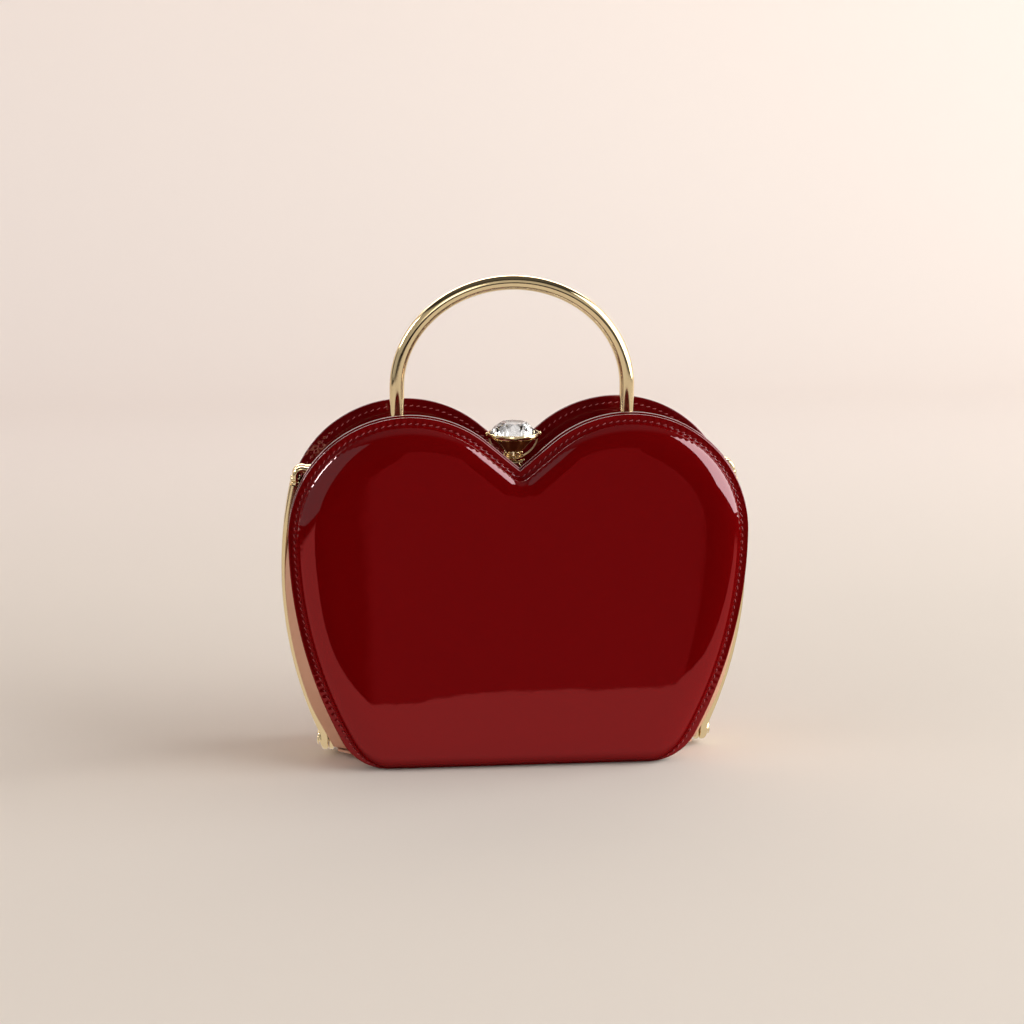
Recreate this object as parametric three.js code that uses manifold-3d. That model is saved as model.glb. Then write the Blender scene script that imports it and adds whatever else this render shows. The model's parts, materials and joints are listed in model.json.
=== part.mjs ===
// Apple-shaped frame handbag. Two padded patent leather panels, each with a notched top of two
// round lobes, stand face to face. Leather walls join each panel to its half of a metal frame, and
// the two halves lean apart on folds along their bottom edges, with rivets at the ends of the arms.
// A hoop handle swings on the back half. A push button under a cut stone lets go of the catch.
// Millimetres. +Z is up, the front faces -Y, and the origin is on the ground under the middle.
import * as THREE from "three";
import { mergeVertices } from "three/addons/utils/BufferGeometryUtils.js";
import Module from "manifold-3d";

const wasm = await Module();
wasm.setup();
const DEG = Math.PI / 180;

// Clearance between pieces that touch
const GAP = 0.3;

// Outline of a panel, seen from the front
const PANEL_WIDTH = 210;
const SHOULDER_HEIGHT = 109; // the widest point, and the centres of the lobes
const LOBE_RADIUS = 55;
const NOTCH_SLOPE = 40; // degrees, the straight sides of the notch
const SIDE_RADIUS = 210;
const FOOT_RADIUS = 24;

// Layers of a panel, from the outside in
const BODY_DEPTH = 55; // over the flat stitched edges of both panels
const LEATHER = 1.3;
const BOARD = 1.8;
const LINING = 1;
const FLANGE = 3.8; // width of the flat stitched edge
const BOTTOM_FLANGE = 0.8; // under the bag, where the padding turns in over the edge
const PAD_HEIGHT = 7.5;
const PAD_ROUNDNESS = 2.2;
const PAD_STEPS = 5;
const PAD_INNER_STEPS = 3;

// Leather walls between a panel and the frame
const WALL = 1.6;
const SEAM_INSET = 3; // from the panel's edge, down the sides
const TOP_INSET = 17; // from the panel's edge, along the top
const TUCK = 1.6; // from the outside of the frame to the wall
const GUSSET_START = -85; // degrees on the panel's lower corner, where the side walls begin
const SHOULDER_STEPS = 7; // of the top wall, from the side wall to the line of the top bar
const BOTTOM_LEATHER = 1;
const BASE_BOARD = 1.6;
const BASE_BOARD_DEPTH = 38;

// Frame, half of it on each side of the middle
const FRAME_WIDTH = 4.9;
const ARM_STANDOFF = 3.4; // outside the widest point of the panels
const ARM_RADIUS = 190;
const ARM_DROP = 21; // from the shoulder down to the widest point of the arms
const ARM_THICKNESS = 2.1;
const ARM_TOP = 3.8; // thickness of the flared upper end
const ARM_FLARE = 22; // length of the flare
const CORNER_RISE = 24.2; // from the shoulder up to the frame's corners
const ARM_STEPS = 14;
const BEAD_HEIGHT = 3.4;
const BEAD_GROOVE = 0.7; // depth of the groove between the two rings of a bead
const BEAD_EDGE = 0.4;
const ELBOW_RADIUS = 3;
const BAR_HEIGHT = 2.6;

// Rivets at the lower ends of the arms, and the lean of each half
const RIVET_HEIGHT = 6.5;
const RIVET_RADIUS = 1.1;
const RIVET_HEAD = 2.4;
const RIVET_HEAD_HEIGHT = 1;
const RIVET_EDGE = 0.8; // the rounded edge of a head, across it
const RIM_DROP = 2; // from the rivet down to the foot of the side walls
const EYE_RADIUS = 4.8;
const EYE_THICKNESS = 4.2; // of the front arm's club-shaped foot; the back arm keeps its own
const EYE_EDGE = 1; // rounded edge of the eyes
const JOGGLE = 14.4; // length in which the arms bend out from their upright eyes
const FOLD_OFFSET = 0.5; // fold axis outside the panels' edges
const OPEN_ANGLE = 14; // degrees, each half

// Bellows inside the arms
const BELLOWS_FOLD = 22;
const BELLOWS_LEATHER = 1.2;
const BELLOWS_RISE = 4; // from the bend of the arms up to the bellows
const BELLOWS_MOUTH = 7.4; // across the open side
const BELLOWS_STEPS = 10;

// Hoop handle
const HANDLE_SPAN = 107.3; // between the middles of the legs
const HANDLE_LEG = 18; // straight part, from the pivot up to the arch
const HANDLE_ARCH = 48.6; // rise of the arch, a little flatter than a half circle
const HANDLE_TUBE = 6.8;
const HANDLE_DEPTH = 12; // behind the middle of the bag
const HANDLE_EYE_RADIUS = 4;
const HANDLE_EYE_WIDTH = 4;
const HANDLE_NECK = 5.5; // depth of the flat above the eye
const PIN_RADIUS = 1.3;
const LUG_EAR = 1.8;
const LUG_BASE = 1.5;
const LUG_DEPTH = 7.2;

// Push button with its stone, and the catch that it lets go
const BUTTON_DEPTH = 6; // behind the middle of the bag
const CLASP_DROP = 4.4; // from the panel's notch down to the top of the barrel
const BARREL_RADIUS = 4.5;
const BARREL_LENGTH = 7.7;
const BARREL_WALL = 1.3;
const CAP_RADIUS = 6;
const CAP_HEIGHT = 1.1;
const NECK_RADIUS = 2.3;
const WAIST_RADIUS = 1.7;
const PISTON_HEIGHT = 2;
const PRESS_TRAVEL = 2;
const FORK_RISE = 0.8; // above the barrel
const FORK_HEIGHT = 1.2;
const FORK_PRONG = 1.8;
const POST_DEPTH = 2.7;
const POST_SETBACK = 0.5; // behind the front of the frame
const CRADLE_RISE = 3; // above the fork's foot
const CRADLE_RADIUS = 6.5;
const CRADLE_SWEEP = 84; // degrees
const SPRING_WIRE = 0.5;
const SPRING_TURNS = 3;
const SPRING_STEPS = 8; // in each turn
const SPRING_SIDES = 5;
const BASKET_HEIGHT = 11.15; // from the gallery's foot to the girdle of the stone
const GALLERY_RADIUS = 4.7;
const GALLERY_HEIGHT = 3.3;
const GALLERY_TEETH = 10;
const GALLERY_BOWL = 2.1; // from the rim of the bowl in to its flat foot
const BASKET_WIRE = 1;
const BASKET_DEPTH = 1.4; // of the wire, front to back
const BASKET_BELLY = 0.45; // place of the wire's bend, from its foot to its top
const STONE_RADIUS = 11.2;
const CROWN_HEIGHT = 5.25;
const TABLE_RADIUS = 6.2;
const TABLE_BOW = 0.1; // share by which the table's eight sides bow out to a circle
const STAR_RISE = 3.2; // from the girdle up to the ring where the star facets end
const PAVILION_DEPTH = 8.4;
const PAVILION_RADIUS = 4.6; // of the ring where the pavilion turns in to its point
const PAVILION_POINT = 1; // from that ring down to the point
const GIRDLE = 0.8;
const CULET = 0.3;
const STONE_SIDES = 16;
const BEZEL_WALL = 0.9;
const BEZEL_RISE = 0.6; // above the middle of the girdle
const BEZEL_LEDGE = 0.6; // under the edge of the stone
const BEZEL_LIP = 0.5; // thickness of that ledge
const BEZEL_EDGE = 0.4;

// Finishes
const finish = (color, roughness, metalness) =>
  new THREE.MeshStandardMaterial({ color, roughness, metalness });
const patentRed = finish(0x6e060b, 0.08, 0);
const tanLeather = finish(0xc99478, 0.55, 0);
const gold = finish(0xd9b877, 0.18, 1);
const foam = finish(0xe6dfd0, 0.9, 0);
const fibreBoard = finish(0x8a7258, 0.8, 0);
const suede = finish(0xb98a70, 0.9, 0);
const steel = finish(0xb9bcc0, 0.3, 1);
const crystal = finish(0xf4f6fa, 0.02, 0);

const bag = new THREE.Group();

// Welds a geometry's vertices, drops empty triangles and points its faces out
function weld(geometry) {
  const bare = geometry.clone();
  bare.deleteAttribute("normal");
  bare.deleteAttribute("uv");
  const merged = mergeVertices(bare, 1e-4);
  const at = merged.attributes.position;
  const corner = [new THREE.Vector3(), new THREE.Vector3(), new THREE.Vector3()];
  const faces = [];
  let volume = 0;
  for (let k = 0; k < merged.index.count; k += 3) {
    const [a, b, c] = [0, 1, 2].map((n) => merged.index.getX(k + n));
    if (a === b || b === c || c === a) continue;
    corner[0].fromBufferAttribute(at, a);
    corner[1].fromBufferAttribute(at, b);
    corner[2].fromBufferAttribute(at, c);
    volume += corner[0].dot(corner[1].cross(corner[2]));
    faces.push([a, b, c]);
  }
  const outward = volume > 0 ? faces : faces.map(([a, b, c]) => [a, c, b]);
  merged.setIndex(outward.flat());
  merged.computeVertexNormals();
  return merged;
}

function addPiece(name, geometry, material) {
  const mesh = new THREE.Mesh(weld(geometry), material);
  mesh.name = name;
  bag.add(mesh);
}

function toSolid(geometry) {
  const welded = weld(geometry);
  return new wasm.Manifold(new wasm.Mesh({
    numProp: 3,
    vertProperties: new Float32Array(welded.attributes.position.array),
    triVerts: new Uint32Array(welded.index.array),
  }));
}

function toGeometry(solid) {
  const mesh = solid.getMesh();
  const geometry = new THREE.BufferGeometry();
  geometry.setAttribute("position", new THREE.BufferAttribute(mesh.vertProperties, 3));
  geometry.setIndex(new THREE.BufferAttribute(mesh.triVerts, 1));
  return geometry;
}

// Triangles that close a loop of points, turning the same way as the loop
function capTriangles(loop) {
  const normal = new THREE.Vector3();
  loop.forEach((p, k) => {
    const q = loop[(k + 1) % loop.length];
    normal.add(new THREE.Vector3().crossVectors(p, q));
  });
  const axis = ["x", "y", "z"].sort((a, b) => Math.abs(normal[b]) - Math.abs(normal[a]))[0];
  const [u, v] = { x: ["y", "z"], y: ["z", "x"], z: ["x", "y"] }[axis];
  const flat = loop.map((p) => new THREE.Vector2(p[u], p[v]));
  const turn = Math.sign(THREE.ShapeUtils.area(flat));
  return THREE.ShapeUtils.triangulateShape(flat, []).map(([a, b, c]) => {
    const same = Math.sign(THREE.ShapeUtils.area([flat[a], flat[b], flat[c]])) === turn;
    return same ? [a, b, c] : [a, c, b];
  });
}

// Closed solid through a row of loops with equal counts of points, capped at both ends
function skin(loops) {
  const count = loops[0].length;
  const last = (loops.length - 1) * count;
  const index = [];
  for (let row = 0; row < last; row += count) {
    for (let k = 0; k < count; k += 1) {
      const a = row + k;
      const b = row + ((k + 1) % count);
      index.push(a, b, b + count, a, b + count, a + count);
    }
  }
  capTriangles(loops[0]).forEach(([a, b, c]) => index.push(a, c, b));
  capTriangles(loops.at(-1)).forEach(([a, b, c]) => index.push(last + a, last + b, last + c));
  const geometry = new THREE.BufferGeometry();
  const points = loops.flat().flatMap((p) => [p.x, p.y, p.z]);
  geometry.setAttribute("position", new THREE.Float32BufferAttribute(points, 3));
  geometry.setIndex(index);
  return geometry;
}

// A point of the x-z plane, at a depth
const lift = (point, y) => new THREE.Vector3(point.x, y, point.y);
const mirrorX = (point) => new THREE.Vector2(-point.x, point.y);
const lerp = THREE.MathUtils.lerp;
const smooth = THREE.MathUtils.smoothstep;

function arcPoints(centre, radius, from, to, steps) {
  return Array.from({ length: steps + 1 }, (_, k) => {
    const angle = lerp(from, to, k / steps) * DEG;
    return new THREE.Vector2(
      centre.x + radius * Math.cos(angle),
      centre.y + radius * Math.sin(angle),
    );
  });
}

// Unit normals to the left of a row of points, lengthened at corners so that an offset keeps its width
function leftNormals(row) {
  const ahead = row.slice(1).map((p, k) => p.clone().sub(row[k]).normalize());
  return row.map((_, k) => {
    const before = ahead[Math.max(k - 1, 0)];
    const after = ahead[Math.min(k, ahead.length - 1)];
    const along = before.clone().add(after).normalize();
    return new THREE.Vector2(-along.y, along.x).divideScalar(along.dot(after));
  });
}

function offsetRow(row, distance) {
  const normals = leftNormals(row);
  return row.map((p, k) => p.clone().addScaledVector(normals[k], distance));
}

// Rounded oblong section of a rod: pairs of offsets across the rod and front to back
function rodSection(across, frontToBack, sides, squareness) {
  return Array.from({ length: sides }, (_, k) => {
    const angle = ((k + 0.5) / sides) * 2 * Math.PI;
    const [c, s] = [Math.cos(angle), Math.sin(angle)];
    const scale = (Math.abs(c) ** squareness + Math.abs(s) ** squareness) ** (-1 / squareness);
    return [(across / 2) * c * scale, (frontToBack / 2) * s * scale];
  });
}

// Solid rod along a row of points of the x-z plane; sections holds one section for each point
function rod(row, sections, y) {
  const normals = leftNormals(row);
  return skin(row.map((p, k) => sections[k].map(([across, depth]) =>
    lift(p.clone().addScaledVector(normals[k], across), y + depth))));
}

// Solid turned about the Z axis from pairs of radius and height
function turned(profile, segments) {
  const points = profile.map(([radius, height]) => new THREE.Vector2(radius, height));
  return new THREE.LatheGeometry(points, segments).rotateX(Math.PI / 2);
}

function cylinderAlongX(radius, from, to, y, z, segments) {
  const profile = [[0, from], [radius, from], [radius, to], [0, to]];
  return turned(profile, segments).rotateY(Math.PI / 2).translate(0, y, z);
}

// Flat plate with an outline in the x-z plane
function plateXZ(outline, nearY, farY) {
  return skin([nearY, farY].map((y) => outline.map((p) => lift(p, y))));
}

// Outline of a panel
const lobeCentre = new THREE.Vector2(PANEL_WIDTH / 2 - LOBE_RADIUS, SHOULDER_HEIGHT);
const sideCentre = new THREE.Vector2(PANEL_WIDTH / 2 - SIDE_RADIUS, SHOULDER_HEIGHT);
const footReach = Math.sqrt(
  (SIDE_RADIUS - FOOT_RADIUS) ** 2 - (SHOULDER_HEIGHT - FOOT_RADIUS) ** 2,
);
const footCentre = new THREE.Vector2(sideCentre.x + footReach, FOOT_RADIUS);
const footAngle = Math.atan2(FOOT_RADIUS - SHOULDER_HEIGHT, footReach) / DEG;
const notchStart = 90 + NOTCH_SLOPE;

function notchPoint(inset) {
  const start = arcPoints(lobeCentre, LOBE_RADIUS - inset, notchStart, notchStart, 1)[0];
  return new THREE.Vector2(0, start.y - start.x * Math.tan(NOTCH_SLOPE * DEG));
}

const panelRight = [
  ...arcPoints(footCentre, FOOT_RADIUS, -90, footAngle, 5),
  ...arcPoints(sideCentre, SIDE_RADIUS, footAngle, 0, 6).slice(1),
  ...arcPoints(lobeCentre, LOBE_RADIUS, 0, notchStart, 13).slice(1),
];
const panelOutline = [...panelRight, notchPoint(0), ...panelRight.map(mirrorX).reverse()];

// Loop inside the outline, round under the notch; beneath the bag the inset may be another one
function panelLoop(inset, bottomInset) {
  const foot = Array.from({ length: 6 }, (_, k) => {
    const angle = lerp(-90, footAngle, k / 5);
    const radius = FOOT_RADIUS - lerp(bottomInset, inset, smooth(k, 0, 5));
    return arcPoints(footCentre, radius, angle, angle, 1)[0];
  });
  const right = [
    ...foot,
    ...arcPoints(sideCentre, SIDE_RADIUS - inset, footAngle, 0, 6).slice(1),
    ...arcPoints(lobeCentre, LOBE_RADIUS - inset, 0, notchStart, 13).slice(1),
    ...arcPoints(notchPoint(0), inset, NOTCH_SLOPE - 90, -90, 2),
  ];
  return [...right, ...right.slice(0, -1).map(mirrorX).reverse()];
}

// Distances of the layers from the middle of the bag
const edge = BODY_DEPTH / 2;
const coverBack = edge - LEATHER;
const boardFace = coverBack - GAP;
const boardBack = boardFace - BOARD;
const facingFace = boardBack - GAP;
const facingBack = facingFace - LEATHER;
const seamDepth = facingBack - GAP;
const rimDepth = GAP + FRAME_WIDTH + GAP;
const frameDepth = GAP + FRAME_WIDTH / 2;

// Rise of the padded face over the flat edge; the roll is as wide as the panel's corners allow
const padRun = FOOT_RADIUS - FLANGE - 2 * LEATHER - 2 * GAP;
const easedShares = (steps) => Array.from({ length: steps + 1 }, (_, k) => (k / steps) ** 2);
const padShares = easedShares(PAD_STEPS);
const padInnerShares = easedShares(PAD_INNER_STEPS);
function padRise(share) {
  return PAD_HEIGHT * (1 - (1 - share) ** PAD_ROUNDNESS) ** (1 / PAD_ROUNDNESS);
}

// Arms of the frame
const armWidest = PANEL_WIDTH / 2 + ARM_STANDOFF;
const armWidestHeight = SHOULDER_HEIGHT - ARM_DROP;
const cornerHeight = SHOULDER_HEIGHT + CORNER_RISE;
function armOuter(z) {
  const drop = z - armWidestHeight;
  return armWidest - ARM_RADIUS + Math.sqrt(ARM_RADIUS ** 2 - drop ** 2);
}
const armTopHeight = cornerHeight - BEAD_HEIGHT - 2 * GAP;
function armThickness(z) {
  return lerp(ARM_THICKNESS, ARM_TOP, smooth(z, armTopHeight - ARM_FLARE, armTopHeight));
}

// Top bar of the frame: elbow at the corner, straight run, lobe, notch
const cornerX = armOuter(cornerHeight) - ARM_TOP / 2;
const elbowCentre = new THREE.Vector2(cornerX - ELBOW_RADIUS, cornerHeight);
const barLobeRadius = LOBE_RADIUS - TOP_INSET;
const elbowFromLobe = elbowCentre.clone().sub(lobeCentre);
const tangentTurn = Math.acos((barLobeRadius - ELBOW_RADIUS) / elbowFromLobe.length());
const tangentAngle = (elbowFromLobe.angle() + tangentTurn) / DEG;
const barLobe = arcPoints(lobeCentre, barLobeRadius, tangentAngle, notchStart, 9);
const barNotch = notchPoint(TOP_INSET);
const barRight = [...arcPoints(elbowCentre, ELBOW_RADIUS, 0, tangentAngle, 4), ...barLobe];
const barRow = [...barRight, barNotch, ...barRight.map(mirrorX).reverse()];

function barHeightAt(x) {
  const k = barRow.findIndex((p, n) => n > 0 && p.x <= x);
  const [a, b] = [barRow[k - 1], barRow[k]];
  return lerp(a.y, b.y, (x - a.x) / (b.x - a.x));
}

// Side walls: a seam on the panel, and a rim behind the arm at matching heights
const rimFoot = RIVET_HEIGHT - RIM_DROP;
const seamRow = [
  ...arcPoints(footCentre, FOOT_RADIUS - SEAM_INSET, GUSSET_START, footAngle, 4),
  ...arcPoints(sideCentre, SIDE_RADIUS - SEAM_INSET, footAngle, 0, 8).slice(1),
];
const seamTop = seamRow.at(-1).y;
const rimRow = seamRow.map((p) => {
  const share = (p.y - seamRow[0].y) / (seamTop - seamRow[0].y);
  const z = lerp(rimFoot, SHOULDER_HEIGHT, share);
  return new THREE.Vector2(armOuter(z) - TUCK, z);
});

// Top wall: leaves the side walls at the shoulder and closes in to the line of the top bar
const shoulderStart = ((2 * GAP) / LOBE_RADIUS) / DEG;
const shoulderSeam = Array.from({ length: SHOULDER_STEPS }, (_, k) => {
  const share = k / SHOULDER_STEPS;
  const inset = lerp(SEAM_INSET, TOP_INSET, smooth(share, 0, 1));
  const angle = lerp(shoulderStart, tangentAngle, share);
  return arcPoints(lobeCentre, LOBE_RADIUS - inset, angle, angle, 1)[0];
});
const shoulderRim = [
  ...Array.from({ length: 4 }, (_, k) => {
    const z = lerp(SHOULDER_HEIGHT + 2 * GAP, armTopHeight, k / 3);
    return new THREE.Vector2(armOuter(z) - TUCK, z);
  }),
  ...arcPoints(elbowCentre, ELBOW_RADIUS, 30, tangentAngle, 2),
];
const topSeamRight = [...shoulderSeam, ...barLobe];
const topRimRight = [...shoulderRim, ...barLobe];
const topSeamRow = [...topSeamRight, barNotch, ...topSeamRight.map(mirrorX).reverse()];
const topRimRow = [...topRimRight, barNotch, ...topRimRight.map(mirrorX).reverse()];

// Wall between a seam and a rim, with its thickness inside
function wall(seam, rim, half) {
  const seamInside = offsetRow(seam, WALL);
  const rimInside = offsetRow(rim, WALL);
  return skin(seam.map((p, k) => [
    lift(p, half * seamDepth),
    lift(rim[k], half * rimDepth),
    lift(rimInside[k], half * rimDepth),
    lift(seamInside[k], half * seamDepth),
  ]));
}

// Lining: the inside outline of the walls against the panel
const liningInset = WALL + GAP;
const liningRight = [
  ...offsetRow(seamRow, liningInset),
  ...offsetRow(topSeamRow, liningInset).slice(1, topSeamRight.length),
];
const liningNotch = notchPoint(TOP_INSET + liningInset);
const liningLoop = [...liningRight, liningNotch, ...liningRight.map(mirrorX).reverse()];

// Eyes at the lower ends of the arms: the front one outside, the back one inside
const eyeOutside = armOuter(RIVET_HEIGHT + EYE_RADIUS);
const eyeMiddle = eyeOutside - EYE_THICKNESS;
const backEyeOutside = eyeMiddle - GAP;
const eyeInside = backEyeOutside - ARM_THICKNESS;
const foldDepth = edge + FOLD_OFFSET;
const foldOverRivet = foldDepth * Math.tan((OPEN_ANGLE / 2) * DEG);
const halfWay = (OPEN_ANGLE / 2) * DEG;
const eyeSlip = 2 * (foldOverRivet * Math.sin(halfWay) - foldDepth * (1 - Math.cos(halfWay)));

const footTop = RIVET_HEIGHT + EYE_RADIUS + GAP + eyeSlip;
function arm(half, hand) {
  const eyeFace = half > 0 ? backEyeOutside : eyeOutside;
  const eyeThickness = half > 0 ? ARM_THICKNESS : EYE_THICKNESS;
  const heights = Array.from({ length: ARM_STEPS + 1 }, (_, k) => {
    const share = (1 - Math.cos((k / ARM_STEPS) * Math.PI)) / 2;
    return lerp(RIVET_HEIGHT, armTopHeight, share);
  });
  const bend = (z) => smooth(z, footTop, footTop + JOGGLE);
  const thickness = (z) => lerp(eyeThickness, armThickness(z), bend(z));
  const row = heights.map((z) =>
    new THREE.Vector2(lerp(eyeFace, armOuter(z), bend(z)) - thickness(z) / 2, z));
  const sections = heights.map((z) => rodSection(thickness(z), FRAME_WIDTH, 10, 4));
  const strip = toSolid(rod(row, sections, half * frameDepth));
  const eyeBack = eyeFace - eyeThickness;
  const edge = half > 0 ? EYE_EDGE / 2 : EYE_EDGE;
  const eye = turned([
    [0, eyeBack], [EYE_RADIUS - edge, eyeBack], [EYE_RADIUS, eyeBack + edge],
    [EYE_RADIUS, eyeFace - edge], [EYE_RADIUS - edge, eyeFace], [0, eyeFace],
  ], 18).rotateY(Math.PI / 2).translate(0, 0, RIVET_HEIGHT);
  const hole = RIVET_RADIUS + GAP + (half > 0 ? 0 : eyeSlip);
  const drill = toSolid(cylinderAlongX(
    hole, eyeInside - WALL, eyeOutside + WALL, 0, RIVET_HEIGHT, 16));
  return toGeometry(strip.add(toSolid(eye)).subtract(drill)).scale(hand, 1, 1);
}

// Two rings and the groove between them, under the frame's corner
function cornerBead(half, hand) {
  const radius = FRAME_WIDTH / 2;
  const middle = BEAD_HEIGHT / 2;
  const profile = [
    [0, 0], [radius - BEAD_EDGE, 0], [radius, BEAD_EDGE], [radius, middle - BEAD_GROOVE],
    [radius - BEAD_GROOVE, middle], [radius, middle + BEAD_GROOVE],
    [radius, BEAD_HEIGHT - BEAD_EDGE], [radius - BEAD_EDGE, BEAD_HEIGHT], [0, BEAD_HEIGHT],
  ];
  const foot = cornerHeight - GAP - BEAD_HEIGHT;
  return turned(profile, 12).translate(hand * cornerX, half * frameDepth, foot);
}

// Padded cover: the leather turns over the foam, and the board closes its back
function cover(half) {
  const outside = padShares.map((share) =>
    panelLoop(FLANGE + share * padRun, BOTTOM_FLANGE + share * padRun)
      .map((p) => lift(p, half * (edge + padRise(share)))));
  const inside = padInnerShares.map((share) => {
    const inset = LEATHER + share * padRun;
    return panelLoop(FLANGE + inset, BOTTOM_FLANGE + inset)
      .map((p) => lift(p, half * (coverBack + padRise(share))));
  });
  const rim = [coverBack, edge].map((depth) =>
    panelLoop(0, 0).map((p) => lift(p, half * depth)));
  return skin([...inside.reverse(), ...rim, ...outside]);
}

function foamPad(half) {
  return skin(padInnerShares.map((share) => {
    const inset = LEATHER + GAP + share * padRun;
    const depth = coverBack + padRise(share) - (share > 0 ? GAP : 0);
    return panelLoop(FLANGE + inset, BOTTOM_FLANGE + inset).map((p) => lift(p, half * depth));
  }));
}

function panelLayer(half, face, back) {
  return plateXZ(panelOutline, half * face, half * back);
}

const halves = [["front", -1], ["back", 1]];
const hands = [["left", -1], ["right", 1]];

for (const [name, half] of halves) {
  addPiece(`${name}_cover`, cover(half), patentRed);
  addPiece(`${name}_foam_pad`, foamPad(half), foam);
  addPiece(`${name}_board`, panelLayer(half, boardFace, boardBack), fibreBoard);
  addPiece(`${name}_facing`, panelLayer(half, facingFace, facingBack), patentRed);
  addPiece(`${name}_lining`, plateXZ(liningLoop, half * seamDepth, half * (seamDepth - LINING)), suede);
  addPiece(`${name}_top_wall`, wall(topSeamRow, topRimRow, half), patentRed);
  const barSection = rodSection(BAR_HEIGHT, FRAME_WIDTH, 10, 3);
  addPiece(`${name}_top_bar`, rod(barRow, barRow.map(() => barSection), half * frameDepth), gold);
  for (const [handName, hand] of hands) {
    const gusset = wall(seamRow, rimRow, half).scale(hand, 1, 1);
    addPiece(`${name}_gusset_${handName}`, gusset, tanLeather);
    addPiece(`${name}_arm_${handName}`, arm(half, hand), gold);
    addPiece(`${name}_corner_bead_${handName}`, cornerBead(half, hand), gold);
  }
}

// Rivets: fixed in the back arms, loose in the front ones
for (const [handName, hand] of hands) {
  const inHead = eyeInside - GAP;
  const outHead = eyeOutside + GAP;
  const crown = RIVET_HEAD_HEIGHT;
  const flat = RIVET_HEAD - RIVET_EDGE;
  const profile = [
    [0, inHead - crown], [flat, inHead - crown], [RIVET_HEAD, inHead - crown + RIVET_EDGE],
    [RIVET_HEAD, inHead], [RIVET_RADIUS, inHead], [RIVET_RADIUS, outHead], [RIVET_HEAD, outHead],
    [RIVET_HEAD, outHead + crown - RIVET_EDGE], [flat, outHead + crown], [0, outHead + crown],
  ];
  const rivet = turned(profile, 16).rotateY(Math.PI / 2).translate(0, 0, RIVET_HEIGHT);
  addPiece(`hinge_rivet_${handName}`, rivet.scale(hand, 1, 1), gold);
}

// Bottom leather: flat on the ground in the middle, turned up under the side walls at its ends
const bottomFlat = footCentre.x - 2 * WALL;
const bottomEnd = eyeInside - 2 * GAP - RIVET_HEAD_HEIGHT - GAP;
const bottomShare = (bottomEnd - seamRow[0].x) / (rimRow[0].x - seamRow[0].x);
function bottomSection(x, halfWidth, top) {
  const foot = top - BOTTOM_LEATHER;
  return [
    new THREE.Vector3(x, -halfWidth, foot), new THREE.Vector3(x, halfWidth, foot),
    new THREE.Vector3(x, halfWidth, top), new THREE.Vector3(x, -halfWidth, top),
  ];
}
const bottomRight = [0, 0.5, 1].map((part) => {
  const share = part * bottomShare;
  return bottomSection(
    lerp(seamRow[0].x, rimRow[0].x, share),
    lerp(seamDepth, rimDepth, share),
    lerp(seamRow[0].y, rimRow[0].y, share) - GAP,
  );
});
const bottomMiddle = bottomSection(bottomFlat, seamDepth, BOTTOM_LEATHER);
const bottomRow = [bottomMiddle, ...bottomRight];
const bottomLeft = bottomRow.map((loop) => loop.map((p) => new THREE.Vector3(-p.x, p.y, p.z)));
addPiece("bottom_gusset", skin([...bottomLeft.reverse(), ...bottomRow]), tanLeather);

const baseFoot = BOTTOM_LEATHER + GAP;
const baseBoard = new THREE.BoxGeometry(2 * bottomFlat, BASE_BOARD_DEPTH, BASE_BOARD);
addPiece("base_board", baseBoard.translate(0, 0, baseFoot + BASE_BOARD / 2), fibreBoard);

// Bellows: a folded leather leaf inside each pair of arms
for (const [handName, hand] of hands) {
  const reach = BELLOWS_MOUTH / 2;
  const thick = (BELLOWS_LEATHER * BELLOWS_FOLD) / reach;
  const loops = Array.from({ length: BELLOWS_STEPS + 1 }, (_, k) => {
    const foot = footTop + JOGGLE + BELLOWS_RISE;
    const z = lerp(foot, armTopHeight - BEAD_HEIGHT, k / BELLOWS_STEPS);
    const mouth = armOuter(z) - armThickness(z) - 2 * GAP;
    const fold = mouth - BELLOWS_FOLD;
    const inner = reach - BELLOWS_LEATHER;
    return [
      [mouth, -reach], [fold, 0], [mouth, reach], [mouth, inner], [fold + thick, 0], [mouth, -inner],
    ].map(([x, y]) => new THREE.Vector3(hand * x, y, z));
  });
  addPiece(`bellows_${handName}`, skin(loops), tanLeather);
}

// Hoop handle: legs, arch, and a drilled eye at the foot of each leg
const legX = HANDLE_SPAN / 2;
const eyeHalf = HANDLE_EYE_WIDTH / 2;
const lugHalf = eyeHalf + GAP + LUG_EAR;
const lugFoot = GAP + Math.max(
  ...[-1, -0.5, 0, 0.5, 1].map((share) => barHeightAt(legX + share * lugHalf)));
const pivotHeight = lugFoot + LUG_BASE + GAP + HANDLE_EYE_RADIUS;
const archHeight = pivotHeight + HANDLE_LEG;
const handleRow = [
  new THREE.Vector2(legX, pivotHeight),
  ...arcPoints(new THREE.Vector2(0, 0), 1, 0, 180, 34)
    .map((p) => new THREE.Vector2(p.x * legX, archHeight + p.y * HANDLE_ARCH)),
  new THREE.Vector2(-legX, pivotHeight),
];
const tubeSection = rodSection(HANDLE_TUBE, HANDLE_TUBE, 12, 2);
const hoop = rod(handleRow, handleRow.map(() => tubeSection), HANDLE_DEPTH);
let handleSolid = toSolid(hoop);
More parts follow.
